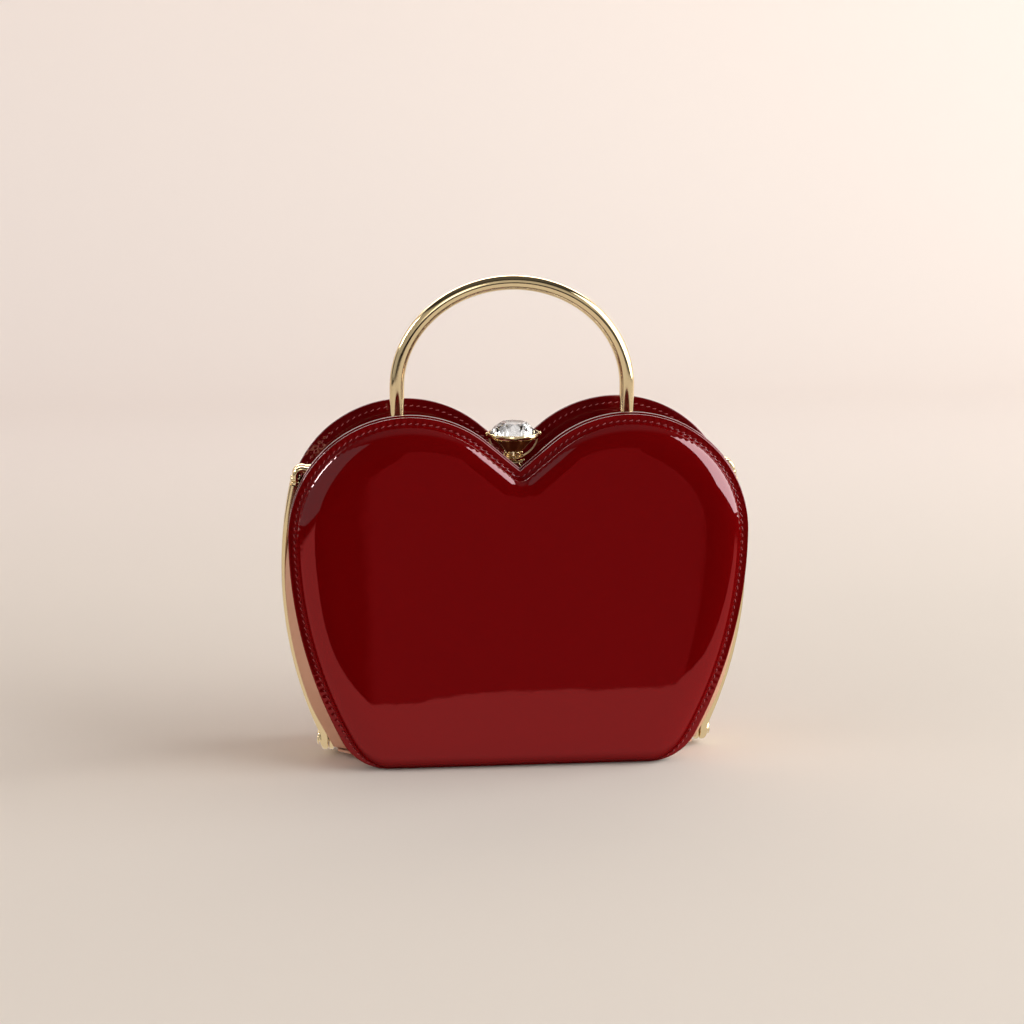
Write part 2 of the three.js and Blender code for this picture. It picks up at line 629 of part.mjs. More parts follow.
for (const [, hand] of hands) {
  const eye = cylinderAlongX(HANDLE_EYE_RADIUS, -eyeHalf, eyeHalf, HANDLE_DEPTH, pivotHeight, 20);
  const relief = toSolid(new THREE.BoxGeometry(
    2 * lugHalf + 2 * GAP, 2 * HANDLE_TUBE, 2 * HANDLE_EYE_RADIUS + 2 * GAP,
  ).translate(hand * legX, HANDLE_DEPTH, pivotHeight));
  const neck = toSolid(new THREE.BoxGeometry(
    HANDLE_EYE_WIDTH, HANDLE_NECK, HANDLE_EYE_RADIUS + HANDLE_TUBE,
  ).translate(hand * legX, HANDLE_DEPTH, pivotHeight + (HANDLE_EYE_RADIUS + HANDLE_TUBE) / 2));
  const drill = toSolid(cylinderAlongX(
    PIN_RADIUS + GAP, -HANDLE_TUBE, HANDLE_TUBE, HANDLE_DEPTH, pivotHeight, 16)
    .translate(hand * legX, 0, 0));
  handleSolid = handleSolid.subtract(relief).add(neck)
    .add(toSolid(eye.translate(hand * legX, 0, 0))).subtract(drill);
}
addPiece("handle_hoop", toGeometry(handleSolid), gold);

// Lugs on the back half, each with two ears and a pin
for (const [handName, hand] of hands) {
  const earTop = pivotHeight + LUG_DEPTH / 2;
  const inner = eyeHalf + GAP;
  const profile = [
    [-lugHalf, lugFoot], [lugHalf, lugFoot], [lugHalf, earTop], [inner, earTop],
    [inner, lugFoot + LUG_BASE], [-inner, lugFoot + LUG_BASE], [-inner, earTop], [-lugHalf, earTop],
  ].map(([x, z]) => new THREE.Vector2(hand * legX + x, z));
  const near = HANDLE_DEPTH - LUG_DEPTH / 2;
  const block = toSolid(plateXZ(profile, near, near + LUG_DEPTH));
  const drill = toSolid(cylinderAlongX(
    PIN_RADIUS + GAP, hand * legX - 2 * lugHalf, hand * legX + 2 * lugHalf,
    HANDLE_DEPTH, pivotHeight, 16));
  const round = toSolid(cylinderAlongX(
    LUG_DEPTH / 2, hand * legX - lugHalf, hand * legX + lugHalf, HANDLE_DEPTH, pivotHeight, 20));
  const below = toSolid(new THREE.BoxGeometry(2 * lugHalf, LUG_DEPTH, pivotHeight - lugFoot)
    .translate(hand * legX, HANDLE_DEPTH, (pivotHeight + lugFoot) / 2));
  const lug = block.intersect(round.add(below)).subtract(drill);
  addPiece(`handle_lug_${handName}`, toGeometry(lug), gold);
  const pinHead = PIN_RADIUS + 2 * GAP;
  const pinEnd = lugHalf + GAP;
  const pin = turned([
    [0, -pinEnd - PIN_RADIUS], [pinHead, -pinEnd - PIN_RADIUS / 2], [pinHead, -pinEnd],
    [PIN_RADIUS, -pinEnd], [PIN_RADIUS, pinEnd], [pinHead, pinEnd],
    [pinHead, pinEnd + PIN_RADIUS / 2], [0, pinEnd + PIN_RADIUS],
  ], 14).rotateY(Math.PI / 2).translate(hand * legX, HANDLE_DEPTH, pivotHeight);
  addPiece(`handle_pin_${handName}`, pin, gold);
}

// Clasp on the back half: a seat in the notch of the top bar, a barrel, its cap and a spring
const claspTop = notchPoint(0).y - CLASP_DROP;
const capFoot = claspTop - CAP_HEIGHT;
const barrelTop = capFoot - GAP;
const barrelFoot = barrelTop - BARREL_LENGTH;
const boreRadius = BARREL_RADIUS - BARREL_WALL;
const boreFoot = barrelFoot + BARREL_WALL;
const seatTop = barrelFoot - GAP;
const seatFoot = barNotch.y + (BAR_HEIGHT / 2 + GAP) / Math.cos(NOTCH_SLOPE * DEG);
const seatReach = (seatTop - seatFoot) / Math.tan(NOTCH_SLOPE * DEG);
const seatOutline = [[0, seatFoot], [seatReach, seatTop], [-seatReach, seatTop]]
  .map(([x, z]) => new THREE.Vector2(x, z));
addPiece("clasp_seat", plateXZ(seatOutline, 2 * GAP, BUTTON_DEPTH + BARREL_RADIUS + WALL), gold);

const barrelProfile = [
  [0, barrelFoot], [BARREL_RADIUS, barrelFoot], [BARREL_RADIUS, barrelTop], [boreRadius, barrelTop],
  [boreRadius, boreFoot], [0, boreFoot],
];
addPiece("clasp_barrel", turned(barrelProfile, 20).translate(0, BUTTON_DEPTH, 0), gold);

const capHole = NECK_RADIUS + GAP;
const capProfile = [
  [capHole, capFoot], [CAP_RADIUS, capFoot], [CAP_RADIUS, capFoot + CAP_HEIGHT / 2],
  [CAP_RADIUS - CAP_HEIGHT / 2, claspTop], [capHole, claspTop], [capHole, capFoot],
];
addPiece("clasp_cap", turned(capProfile, 24).translate(0, BUTTON_DEPTH, 0), gold);

const pistonTop = capFoot - GAP;
const pistonFoot = pistonTop - PISTON_HEIGHT;
const springRadius = boreRadius - GAP - SPRING_WIRE;
const springFoot = boreFoot + GAP + SPRING_WIRE / 2;
const springTop = pistonFoot - GAP - SPRING_WIRE / 2;
const springSteps = SPRING_TURNS * SPRING_STEPS;
const springLoops = Array.from({ length: springSteps + 1 }, (_, k) => {
  const angle = (k / SPRING_STEPS) * 2 * Math.PI;
  const z = lerp(springFoot, springTop, k / springSteps);
  return Array.from({ length: SPRING_SIDES }, (_, n) => {
    const turn = (n / SPRING_SIDES) * 2 * Math.PI;
    const radius = springRadius + (SPRING_WIRE / 2) * Math.cos(turn);
    return new THREE.Vector3(
      radius * Math.cos(angle),
      BUTTON_DEPTH + radius * Math.sin(angle),
      z + (SPRING_WIRE / 2) * Math.sin(turn),
    );
  });
});
addPiece("clasp_spring", skin(springLoops), steel);

// Catch on the front half: a post in the notch, a cradle and a fork round the button's neck
const forkFoot = claspTop + FORK_RISE;
const forkTop = forkFoot + FORK_HEIGHT;
const forkGap = NECK_RADIUS + 1.5 * GAP;
const forkHalf = forkGap + FORK_PRONG;
const postFront = -(GAP + FRAME_WIDTH - POST_SETBACK);
const postBack = postFront + POST_DEPTH;
const postSide = seatFoot + forkGap * Math.tan(NOTCH_SLOPE * DEG);
const postTop = forkFoot + CRADLE_RISE;
const postOutline = [
  [0, seatFoot], [forkGap, postSide], [forkGap, postTop], [-forkGap, postTop], [-forkGap, postSide],
].map(([x, z]) => new THREE.Vector2(x, z));
const forkShape = new THREE.Shape();
forkShape.moveTo(-forkHalf, postFront);
forkShape.lineTo(forkHalf, postFront);
forkShape.lineTo(forkHalf, BUTTON_DEPTH + NECK_RADIUS);
forkShape.lineTo(forkGap, BUTTON_DEPTH + NECK_RADIUS);
forkShape.lineTo(forkGap, BUTTON_DEPTH);
forkShape.absarc(0, BUTTON_DEPTH, forkGap, 0, -Math.PI, true);
forkShape.lineTo(-forkGap, BUTTON_DEPTH + NECK_RADIUS);
forkShape.lineTo(-forkHalf, BUTTON_DEPTH + NECK_RADIUS);
const fork = new THREE.ExtrudeGeometry(forkShape, {
  depth: FORK_HEIGHT, bevelEnabled: false, curveSegments: 10,
}).translate(0, 0, forkFoot);
const cradleCentre = new THREE.Vector2(0, postTop + CRADLE_RADIUS);
const cradleRow = arcPoints(
  cradleCentre, CRADLE_RADIUS, 270 - CRADLE_SWEEP / 2, 270 + CRADLE_SWEEP / 2, 12);
const cradleSection = rodSection(FORK_HEIGHT, POST_DEPTH, 8, 3);
const cradle = rod(cradleRow, cradleRow.map(() => cradleSection), (postFront + postBack) / 2);
const catchSolid = toSolid(plateXZ(postOutline, postFront, postBack))
  .add(toSolid(fork)).add(toSolid(cradle));
addPiece("front_catch", toGeometry(catchSolid), gold);

// Button: stem, gallery, basket wire, bezel and stone
const galleryFoot = forkTop + PRESS_TRAVEL + 2 * GAP;
const waistFoot = forkTop + GAP;
const girdleHeight = galleryFoot + BASKET_HEIGHT;
const stemProfile = [
  [0, pistonFoot], [boreRadius - GAP, pistonFoot], [boreRadius - GAP, pistonTop],
  [NECK_RADIUS, pistonTop], [NECK_RADIUS, waistFoot], [WAIST_RADIUS, waistFoot + GAP],
  [WAIST_RADIUS, galleryFoot - GAP], [0, galleryFoot - GAP],
];
addPiece("button_stem", turned(stemProfile, 18).translate(0, BUTTON_DEPTH, 0), gold);

const galleryFloor = galleryFoot + GALLERY_HEIGHT / 3;
let gallery = toSolid(turned([
  [0, galleryFoot], [GALLERY_RADIUS - GALLERY_BOWL, galleryFoot], [GALLERY_RADIUS, galleryFloor],
  [GALLERY_RADIUS, galleryFloor + GAP], [0, galleryFloor + GAP],
], 20));
const toothWidth = (Math.PI * GALLERY_RADIUS) / GALLERY_TEETH;
const toothTop = galleryFoot + GALLERY_HEIGHT;
for (let k = 0; k < GALLERY_TEETH; k += 1) {
  const tooth = new THREE.BoxGeometry(BASKET_WIRE, toothWidth, toothTop - galleryFloor)
    .translate(GALLERY_RADIUS - BASKET_WIRE / 2 - GAP, 0, (toothTop + galleryFloor) / 2)
    .rotateZ(((k + 0.5) / GALLERY_TEETH) * 2 * Math.PI);
  gallery = gallery.add(toSolid(tooth));
}
addPiece("button_gallery", toGeometry(gallery).translate(0, BUTTON_DEPTH, 0), gold);

// The two basket wires leave the bezel at its sides and curve in to the gallery
const pavilionTurn = PAVILION_DEPTH - PAVILION_POINT;
const pavilionFall = (pavilionTurn - GIRDLE / 2) / (STONE_RADIUS - PAVILION_RADIUS);
const ledgeTop = girdleHeight - GIRDLE / 2 - BEZEL_LEDGE * pavilionFall - GAP;
const bezelFoot = ledgeTop - BEZEL_LIP;
const bezelTop = girdleHeight + BEZEL_RISE;
const bezelBore = STONE_RADIUS + GAP;
const bezelRadius = bezelBore + BEZEL_WALL;
const wireTop = new THREE.Vector2(STONE_RADIUS - BASKET_WIRE / 2, bezelFoot - GAP);
const wireFoot = new THREE.Vector2(GALLERY_RADIUS + GAP + BASKET_WIRE / 2, galleryFoot + GAP);
const wireBend = new THREE.Vector2(wireTop.x, lerp(wireFoot.y, wireTop.y, BASKET_BELLY));
const wireRow = new THREE.QuadraticBezierCurve(wireFoot, wireBend, wireTop).getPoints(8);
const wireSection = rodSection(BASKET_WIRE, BASKET_DEPTH, 8, 3);
for (const [handName, hand] of hands) {
  const wire = rod(wireRow, wireRow.map(() => wireSection), BUTTON_DEPTH).scale(hand, 1, 1);
  addPiece(`basket_wire_${handName}`, wire, gold);
}

const ledge = STONE_RADIUS - BEZEL_LEDGE;
const bezelProfile = [
  [ledge, bezelFoot], [bezelRadius - BEZEL_EDGE, bezelFoot], [bezelRadius, bezelFoot + BEZEL_EDGE],
  [bezelRadius, bezelTop - BEZEL_EDGE], [bezelRadius - BEZEL_EDGE, bezelTop],
  [bezelBore, bezelTop], [bezelBore, ledgeTop], [ledge, ledgeTop], [ledge, bezelFoot],
];
addPiece("button_bezel", turned(bezelProfile, 28).translate(0, BUTTON_DEPTH, 0), gold);

// Cut stone: octagonal table, star and main facets on the crown, girdle, convex pavilion
function stoneRing(mainRadius, betweenRadius, height) {
  return Array.from({ length: STONE_SIDES }, (_, k) => {
    const angle = (k / STONE_SIDES) * 2 * Math.PI;
    const radius = k % 2 ? betweenRadius : mainRadius;
    return new THREE.Vector3(
      radius * Math.cos(angle), BUTTON_DEPTH + radius * Math.sin(angle), girdleHeight + height);
  });
}
const tableFlat = TABLE_RADIUS * Math.cos((2 * Math.PI) / STONE_SIDES);
const tableSide = lerp(tableFlat, TABLE_RADIUS, TABLE_BOW);
const starRadius = (TABLE_RADIUS + STONE_RADIUS) / 2;
addPiece("button_stone", skin([
  stoneRing(TABLE_RADIUS, tableSide, CROWN_HEIGHT),
  stoneRing(starRadius, starRadius, STAR_RISE),
  stoneRing(STONE_RADIUS, STONE_RADIUS, GIRDLE / 2),
  stoneRing(STONE_RADIUS, STONE_RADIUS, -GIRDLE / 2),
  stoneRing(PAVILION_RADIUS, PAVILION_RADIUS, -pavilionTurn),
  stoneRing(CULET, CULET, -PAVILION_DEPTH),
]), crystal);

export default bag;
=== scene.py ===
import json
import math

import bmesh
import bpy
import numpy as np
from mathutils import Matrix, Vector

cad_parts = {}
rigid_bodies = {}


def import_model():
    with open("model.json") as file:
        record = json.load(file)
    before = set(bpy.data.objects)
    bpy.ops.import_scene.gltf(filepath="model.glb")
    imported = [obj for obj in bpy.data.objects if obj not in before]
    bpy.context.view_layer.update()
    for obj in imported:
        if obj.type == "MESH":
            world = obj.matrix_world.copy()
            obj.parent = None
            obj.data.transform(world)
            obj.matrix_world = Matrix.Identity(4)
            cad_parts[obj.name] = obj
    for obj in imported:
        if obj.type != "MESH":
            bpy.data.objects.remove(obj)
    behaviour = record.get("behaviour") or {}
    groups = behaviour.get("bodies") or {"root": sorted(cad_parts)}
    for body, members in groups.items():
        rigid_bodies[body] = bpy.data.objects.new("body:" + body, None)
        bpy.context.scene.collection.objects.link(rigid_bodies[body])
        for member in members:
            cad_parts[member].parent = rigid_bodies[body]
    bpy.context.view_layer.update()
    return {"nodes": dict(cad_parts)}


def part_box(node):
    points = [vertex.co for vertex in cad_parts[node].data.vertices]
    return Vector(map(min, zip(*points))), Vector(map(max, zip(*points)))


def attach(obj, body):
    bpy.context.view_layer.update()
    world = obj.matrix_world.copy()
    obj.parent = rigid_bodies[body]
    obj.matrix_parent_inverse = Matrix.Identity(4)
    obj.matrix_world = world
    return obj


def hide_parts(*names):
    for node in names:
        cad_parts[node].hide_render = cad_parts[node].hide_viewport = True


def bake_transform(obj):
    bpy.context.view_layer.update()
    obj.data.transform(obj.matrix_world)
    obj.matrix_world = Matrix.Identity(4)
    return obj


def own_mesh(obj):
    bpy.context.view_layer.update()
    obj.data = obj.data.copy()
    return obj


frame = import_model()

# Padded covers, one on each side of the bag. Patent leather is drawn over a foam pad on a fibre board and
# turned round the board's edge. It is sewn down there, so a flat edge runs round the padded field, and
# beneath the bag the padding turns in over the edge.
MM = 0.001  # sizes below are in millimetres, across (x), front to back (y) and up (z)
PANEL_HALF, LOBE_RADIUS, SIDE_RADIUS, FOOT_RADIUS, SHOULDER = 105.0, 55.0, 210.0, 24.0, 109.0
NOTCH_SLOPE, NOTCH_ROUND = 40.0, 0.5
notch_turn, notch_start = math.radians(NOTCH_SLOPE), 90 + NOTCH_SLOPE
slope_in = np.array([math.sin(notch_turn), -math.cos(notch_turn)])
lobe_centre = np.array([PANEL_HALF - LOBE_RADIUS, SHOULDER])
side_centre = np.array([PANEL_HALF - SIDE_RADIUS, SHOULDER])
foot_reach = math.sqrt((SIDE_RADIUS - FOOT_RADIUS) ** 2 - (SHOULDER - FOOT_RADIUS) ** 2)
foot_centre = np.array([side_centre[0] + foot_reach, FOOT_RADIUS])
foot_end = math.degrees(math.atan2(FOOT_RADIUS - SHOULDER, foot_reach))


def arc(centre, radius, start, end, steps):
    """Points of an arc, without its last one, and the unit vectors away from its centre."""
    turn = np.radians(np.linspace(start, end, steps, endpoint=False))
    away = np.c_[np.cos(turn), np.sin(turn)]
    return centre + radius * away, away


def smooth(share):
    share = np.clip(share, 0, 1)
    return share * share * (3 - 2 * share)


def notch_line(inset, rounding, slope_steps, fan_steps):
    """The straight side and the round foot of the notch, inset from the edge: points, and unit vectors in."""
    top = lobe_centre - (LOBE_RADIUS - inset) * slope_in
    meeting = top[1] - top[0] * math.tan(notch_turn)
    centre = np.array([0, meeting + rounding / math.cos(notch_turn)])
    foot = centre + rounding * slope_in
    slope = top + np.linspace(0, 1, slope_steps, endpoint=False)[:, None] * (foot - top)
    fan, fan_away = arc(centre, rounding, NOTCH_SLOPE - 90, -90 - NOTCH_SLOPE / (fan_steps - 1), fan_steps)
    return np.r_[slope, fan], np.r_[np.tile(slope_in, (slope_steps, 1)), fan_away]


def mirrored(path):
    """A path to the middle of the bag, and on along its mirror image."""
    return np.r_[path, path[-2::-1] * [-1, 1]]


# The edge of a panel from the middle of its bottom, up its right side to the notch: points, unit vectors
# that lead in, how full the flat edge is there, and how far in the walls of the bag are sewn on
SEAM_INSET, TOP_INSET = 3.0, 17.0
BAR_TANGENT = 76.14  # degrees on the lobe, where the top walls reach the line of the frame
BOTTOM_STEPS, FOOT_STEPS, SIDE_STEPS, LOBE_STEPS = 60, 56, 200, 256
bottom = np.c_[
    np.linspace(0, foot_centre[0], BOTTOM_STEPS, endpoint=False), np.zeros(BOTTOM_STEPS)]
foot, foot_away = arc(foot_centre, FOOT_RADIUS, -90, foot_end, FOOT_STEPS)
side, side_away = arc(side_centre, SIDE_RADIUS, foot_end, 0, SIDE_STEPS)
lobe, lobe_away = arc(lobe_centre, LOBE_RADIUS, 0, notch_start, LOBE_STEPS)
notch, notch_in = notch_line(0, NOTCH_ROUND, 38, 15)
right_edge = np.r_[bottom, foot, side, lobe, notch]
right_in = np.r_[np.tile([0.0, 1.0], (BOTTOM_STEPS, 1)), -foot_away, -side_away, -lobe_away, notch_in]
right_full = np.r_[
    np.zeros(BOTTOM_STEPS), smooth(np.linspace(0, 1, FOOT_STEPS)), np.ones(SIDE_STEPS + LOBE_STEPS + len(notch))]
lobe_turn = np.linspace(0, notch_start, LOBE_STEPS, endpoint=False)
right_wall = np.r_[
    np.full(BOTTOM_STEPS + FOOT_STEPS + SIDE_STEPS, SEAM_INSET),
    SEAM_INSET + (TOP_INSET - SEAM_INSET) * smooth(lobe_turn / BAR_TANGENT), np.full(len(notch), TOP_INSET)]
edge, inward = mirrored(right_edge)[:-1], mirrored(right_in)[:-1]
fullness = np.r_[right_full, right_full[-2:0:-1]]
wall_inset = np.r_[right_wall, right_wall[-2:0:-1]]

FLANGE, BOTTOM_FLANGE = 3.7, 0.8  # width of the flat edge, and beneath the bag
STITCH_INSET, STITCH_PITCH = 2.8, 3.1
FIELD_CENTRE = np.array([[0.0, 75.0]])
EDGE_ROUND = 0.5


def panel_loop(inset):
    """The loop that lies inset from the edge of a panel, closer to it beneath the bag."""
    inset = np.broadcast_to(inset, len(edge))
    narrow = np.where(inset < FLANGE, inset * BOTTOM_FLANGE / FLANGE, inset - FLANGE + BOTTOM_FLANGE)
    return edge + inward * (narrow + (inset - narrow) * fullness)[:, None]


seam_line = panel_loop(STITCH_INSET)
seam_steps = np.linalg.norm(np.roll(seam_line, -1, axis=0) - seam_line, axis=1)
seam_length = np.r_[[0], np.cumsum(seam_steps)[:-1]]
pull = (0.5 + 0.5 * np.cos(2 * np.pi * seam_length / STITCH_PITCH)) * smooth(fullness * 2)


def turned_edge(near, far):
    """Insets and depths of the tight turn of the leather from one face of a panel to the other."""
    turn = np.radians(np.linspace(0, 90, 6))
    tight = math.copysign(EDGE_ROUND, far - near)
    front = [(EDGE_ROUND * (1 - math.cos(t)), far - tight * (1 - math.sin(t))) for t in turn]
    return [(inset, near + far - depth) for inset, depth in front[::-1]] + front


def upright(place, depth):
    """Points across and up, set at that depth."""
    return np.c_[place[:, 0], np.broadcast_to(depth, len(place)), place[:, 1]]


def body_through(loops, start=None, end=None, ring=False):
    """Points and faces of a closed body through loops; a tip closes an end with a fan, else one flat face."""
    loops = np.asarray(loops, float)
    grid = np.arange(loops.shape[0] * loops.shape[1]).reshape(loops.shape[:2])
    joined = np.r_[grid, grid[:1]] if ring else grid
    ahead = np.roll(joined, -1, axis=1)
    faces = np.stack([joined[:-1], ahead[:-1], ahead[1:], joined[1:]], axis=-1).reshape(-1, 4).tolist()
    points = loops.reshape(-1, 3)
    if ring:
        return points, faces
    for tip, rim in ((start, grid[0][::-1]), (end, grid[-1])):
        if tip is None:
            faces.append(rim.tolist())
        else:
            points = np.r_[points, tip]
            faces += [[a, b, len(points) - 1] for a, b in zip(rim.tolist(), np.roll(rim, -1).tolist())]
    return points, faces


def make_piece(name, bodies, material, crease):
    """One object of closed bodies, smooth where its faces meet at less than the crease angle."""
    points, faces = [], []
    for body_points, body_faces in bodies:
        start = sum(len(p) for p in points)
        points.append(body_points)
        faces += [[start + k for k in face] for face in body_faces]
    mesh = bpy.data.meshes.new(name)
    mesh.from_pydata((np.vstack(points) * MM).tolist(), [], faces)
    work = bmesh.new()
    work.from_mesh(mesh)
    bmesh.ops.recalc_face_normals(work, faces=work.faces)
    work.to_mesh(mesh)
    work.free()
    mesh.shade_smooth()
    mesh.set_sharp_from_angle(angle=math.radians(crease))
    mesh.materials.append(material)
    piece = bpy.data.objects.new(name, mesh)
    bpy.context.scene.collection.objects.link(piece)
    return piece


def fit(name, bodies, material, crease, body, slot, *nodes):
    """Makes a piece and puts it on its body, in place of the solids that it stands for."""
    piece = make_piece(name, bodies, material, crease)
    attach(piece, body)
    if nodes:
        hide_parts(*nodes)
    return piece


def add_node(tree, kind, inputs=(), **settings):
    """A shader node with its settings; each input named is given its value or linked to a socket."""
    node = tree.nodes.new("ShaderNode" + kind)
    for setting, value in settings.items():
        setattr(node, setting, value)
    for name, value in dict(inputs).items():
        if isinstance(value, bpy.types.NodeSocket):
            tree.links.new(value, node.inputs[name])
        else:
            node.inputs[name].default_value = value
    return node


def object_place(tree):
    return add_node(tree, "TexCoord").outputs["Object"]


def new_group(name, inputs, outputs):
    """A shader node group with its sockets; returns it with what it is given and what it gives."""
    group = bpy.data.node_groups.new(name, "ShaderNodeTree")
    for side, sockets in (("INPUT", inputs), ("OUTPUT", outputs)):
        for socket, value in sockets.items():
            kind = "NodeSocketColor" if isinstance(value, tuple) else "NodeSocketFloat"
            group.interface.new_socket(socket, in_out=side, socket_type=kind).default_value = value
    return group, group.nodes.new("NodeGroupInput").outputs, group.nodes.new("NodeGroupOutput").inputs


# Uneven colour: the tone of a dyed or plated surface wanders over a few centimetres
tone, given, gives = new_group(
    "uneven_tone", {"Color": (1, 1, 1, 1), "Scale": 30.0, "Amount": 0.1}, {"Color": (1, 1, 1, 1), "Cloud": 0.0})
cloud = add_node(
    tone, "TexNoise", {"Vector": object_place(tone), "Scale": given["Scale"], "Detail": 4}).outputs["Fac"]
even = add_node(tone, "Math", {0: cloud, 1: 0.5}, operation="SUBTRACT").outputs[0]
shift = add_node(tone, "Math", {0: even, 1: given["Amount"], 2: 1.0}, operation="MULTIPLY_ADD").outputs[0]
shifted = add_node(tone, "VectorMath", {0: given["Color"], "Scale": shift}, operation="SCALE").outputs[0]
tone.links.new(shifted, gives["Color"])
tone.links.new(cloud, gives["Cloud"])

# Hide grain: fine cells with softer creases between them, as a height
grain, given, gives = new_group("hide_grain", {"Scale": 1500.0, "Crease": 0.4}, {"Height": 0.0})
spread = {"Vector": object_place(grain), "Scale": given["Scale"]}
cells = add_node(grain, "TexVoronoi", spread).outputs["Distance"]
fine = add_node(grain, "TexNoise", {**spread, "Detail": 3}).outputs["Fac"]
height = add_node(grain, "Math", {0: cells, 1: given["Crease"], 2: fine}, operation="MULTIPLY_ADD")
grain.links.new(height.outputs[0], gives["Height"])


def plain_material(name, values):
    """A material with those values on its shader's sockets; returns it with its node tree and the sockets."""
    material = bpy.data.materials.new(name)
    material.use_nodes = True
    tree = material.node_tree
    surface = tree.nodes["Principled BSDF"].inputs
    for socket, value in values.items():
        surface[socket].default_value = value
    return material, tree, surface


def new_material(name, color, tone_scale, tone_amount, roughness_low, roughness_high, **values):
    """A material whose tone wanders and whose roughness follows it."""
    material, tree, surface = plain_material(name, {key.replace("_", " "): v for key, v in values.items()})
    drift = add_node(
        tree, "Group", {"Color": (*color, 1), "Scale": tone_scale, "Amount": tone_amount}, node_tree=tone)
    sheen = add_node(tree, "MapRange", {
        "Value": drift.outputs["Cloud"], "From Min": 0.3, "From Max": 0.7,
        "To Min": roughness_low, "To Max": roughness_high})
    tree.links.new(drift.outputs["Color"], surface["Base Color"])
    tree.links.new(sheen.outputs["Result"], surface["Roughness"])
    return material


def press(material, height, distance):
    """Presses a height into the surface of a material, that many metres deep."""
    tree = material.node_tree
    bump = add_node(tree, "Bump", {"Height": height, "Distance": distance})
    tree.links.new(bump.outputs["Normal"], tree.nodes["Principled BSDF"].inputs["Normal"])


def add_grain(material, scale, crease, distance):
    pores = add_node(material.node_tree, "Group", {"Scale": scale, "Crease": crease}, node_tree=grain)
    press(material, pores.outputs["Height"], distance)


patent_red = new_material(
    "patent_leather_red", (0.150, 0.0005, 0.0010), 14, 0.08, 0.022, 0.04,
    IOR=2.0, Specular_Tint=(1.0, 0.64, 0.68, 1))
add_grain(patent_red, 90, 0.2, 0.00003)

EDGE_DEPTH, COVER_BACK = 27.5, 25.2  # from the middle of the bag
TURN_IN, FLAT_START = 9.0, 1.3
PAD_RISE, PAD_RUN, PAD_ROUND = 7.5, 17.0, 2.2
FOOT_SHARE, FOOT_RUN = 0.0325, 0.6  # straight foot of the roll
FOOT_CREASE = ((0.08, 0.07), (0.2, 0.3))  # run and rise of the crease in front of it
NOTCH_TIGHT, NOTCH_FULL = 0.12, 0.9  # the roll is narrower and fuller by the notch
NOTCH_REACH, NOTCH_LOW, NOTCH_BLEND = 36.0, 100.0, 30.0
CROWN = 0.35
SWELL, RIPPLE = 0.10, 0.05  # slow waves that the taut leather keeps
PUCKER, COVER_PULL, FACING_PULL = 0.11, 2.0, 1.6
STITCH_GROOVE, GROOVE_REACH = 0.06, 0.45


def sewn_dips(inset, reach):
    """How far the stitches draw the leather in, and how deep it is pressed under the thread."""
    off = inset - STITCH_INSET
    groove = STITCH_GROOVE * math.exp(-(off / GROOVE_REACH) ** 2) * smooth(fullness * 3)
    return PUCKER * pull * math.exp(-(off / reach) ** 2), groove


def cover_body(half):
    roll = FLANGE - FOOT_RUN
    profile = [(TURN_IN, COVER_BACK), *turned_edge(COVER_BACK, EDGE_DEPTH)]
    profile += [(inset, EDGE_DEPTH) for inset in np.linspace(FLAT_START, roll - 0.1, 12)]
    profile += [(roll + run, EDGE_DEPTH + rise) for run, rise in FOOT_CREASE]
    first = PAD_RISE * (1 - (1 - FOOT_SHARE) ** PAD_ROUND) ** (1 / PAD_ROUND)
    for share in np.linspace(0, 1, 5)[1:-1]:
        profile.append((roll + share * (FOOT_RUN + FOOT_SHARE * PAD_RUN), EDGE_DEPTH + first * share))
    by_notch = np.exp(-(edge[:, 0] / NOTCH_REACH) ** 2) * smooth((edge[:, 1] - NOTCH_LOW) / NOTCH_BLEND)
    fuller = PAD_ROUND + NOTCH_FULL * by_notch
    for share in FOOT_SHARE + (1 - FOOT_SHARE) * np.linspace(0, 1, 30) ** 1.5:
        rise = (1 - (1 - share) ** fuller) ** (1 / fuller)
        profile.append((FLANGE + share * PAD_RUN, EDGE_DEPTH + PAD_RISE * rise))
    rows = []
    for inset, depth in profile:
        outside = np.max(depth) > COVER_BACK + 1.5
        pucker, groove = sewn_dips(inset, COVER_PULL)
        place = panel_loop(inset + pucker * outside - NOTCH_TIGHT * by_notch * max(inset - FLANGE, 0))
        x, z = place.T
        waves = SWELL * np.sin(x / 31 + 0.7 * half) * np.sin(z / 27 + 0.4) + RIPPLE * np.sin(x / 13 - z / 19)
        sunk = depth - (pucker + groove) * outside + waves * smooth((inset - FLANGE) / PAD_RUN)
        rows.append(upright(place, half * sunk))
    last, last_place = rows[-1], rows[-1][:, [0, 2]]
    for share in np.linspace(0, 1, 16, endpoint=False)[1:]:
        rest = last[:, 1] + (half * (EDGE_DEPTH + PAD_RISE) - last[:, 1]) * smooth(share)
        rows.append(upright(
            last_place + (FIELD_CENTRE - last_place) * share, rest + half * CROWN * smooth(share)))
    return body_through(rows, upright(FIELD_CENTRE, half * COVER_BACK),
                        upright(FIELD_CENTRE, half * (EDGE_DEPTH + PAD_RISE + CROWN)))


halves = (("front", -1), ("back", 1))
hands = (("left", -1), ("right", 1))
for name, half in halves:
    cover = fit(f"{name}_padded_cover", [cover_body(half)], patent_red, 75, f"{name}_half", "patent_red",
                f"{name}_cover", f"{name}_foam_pad", f"{name}_board")

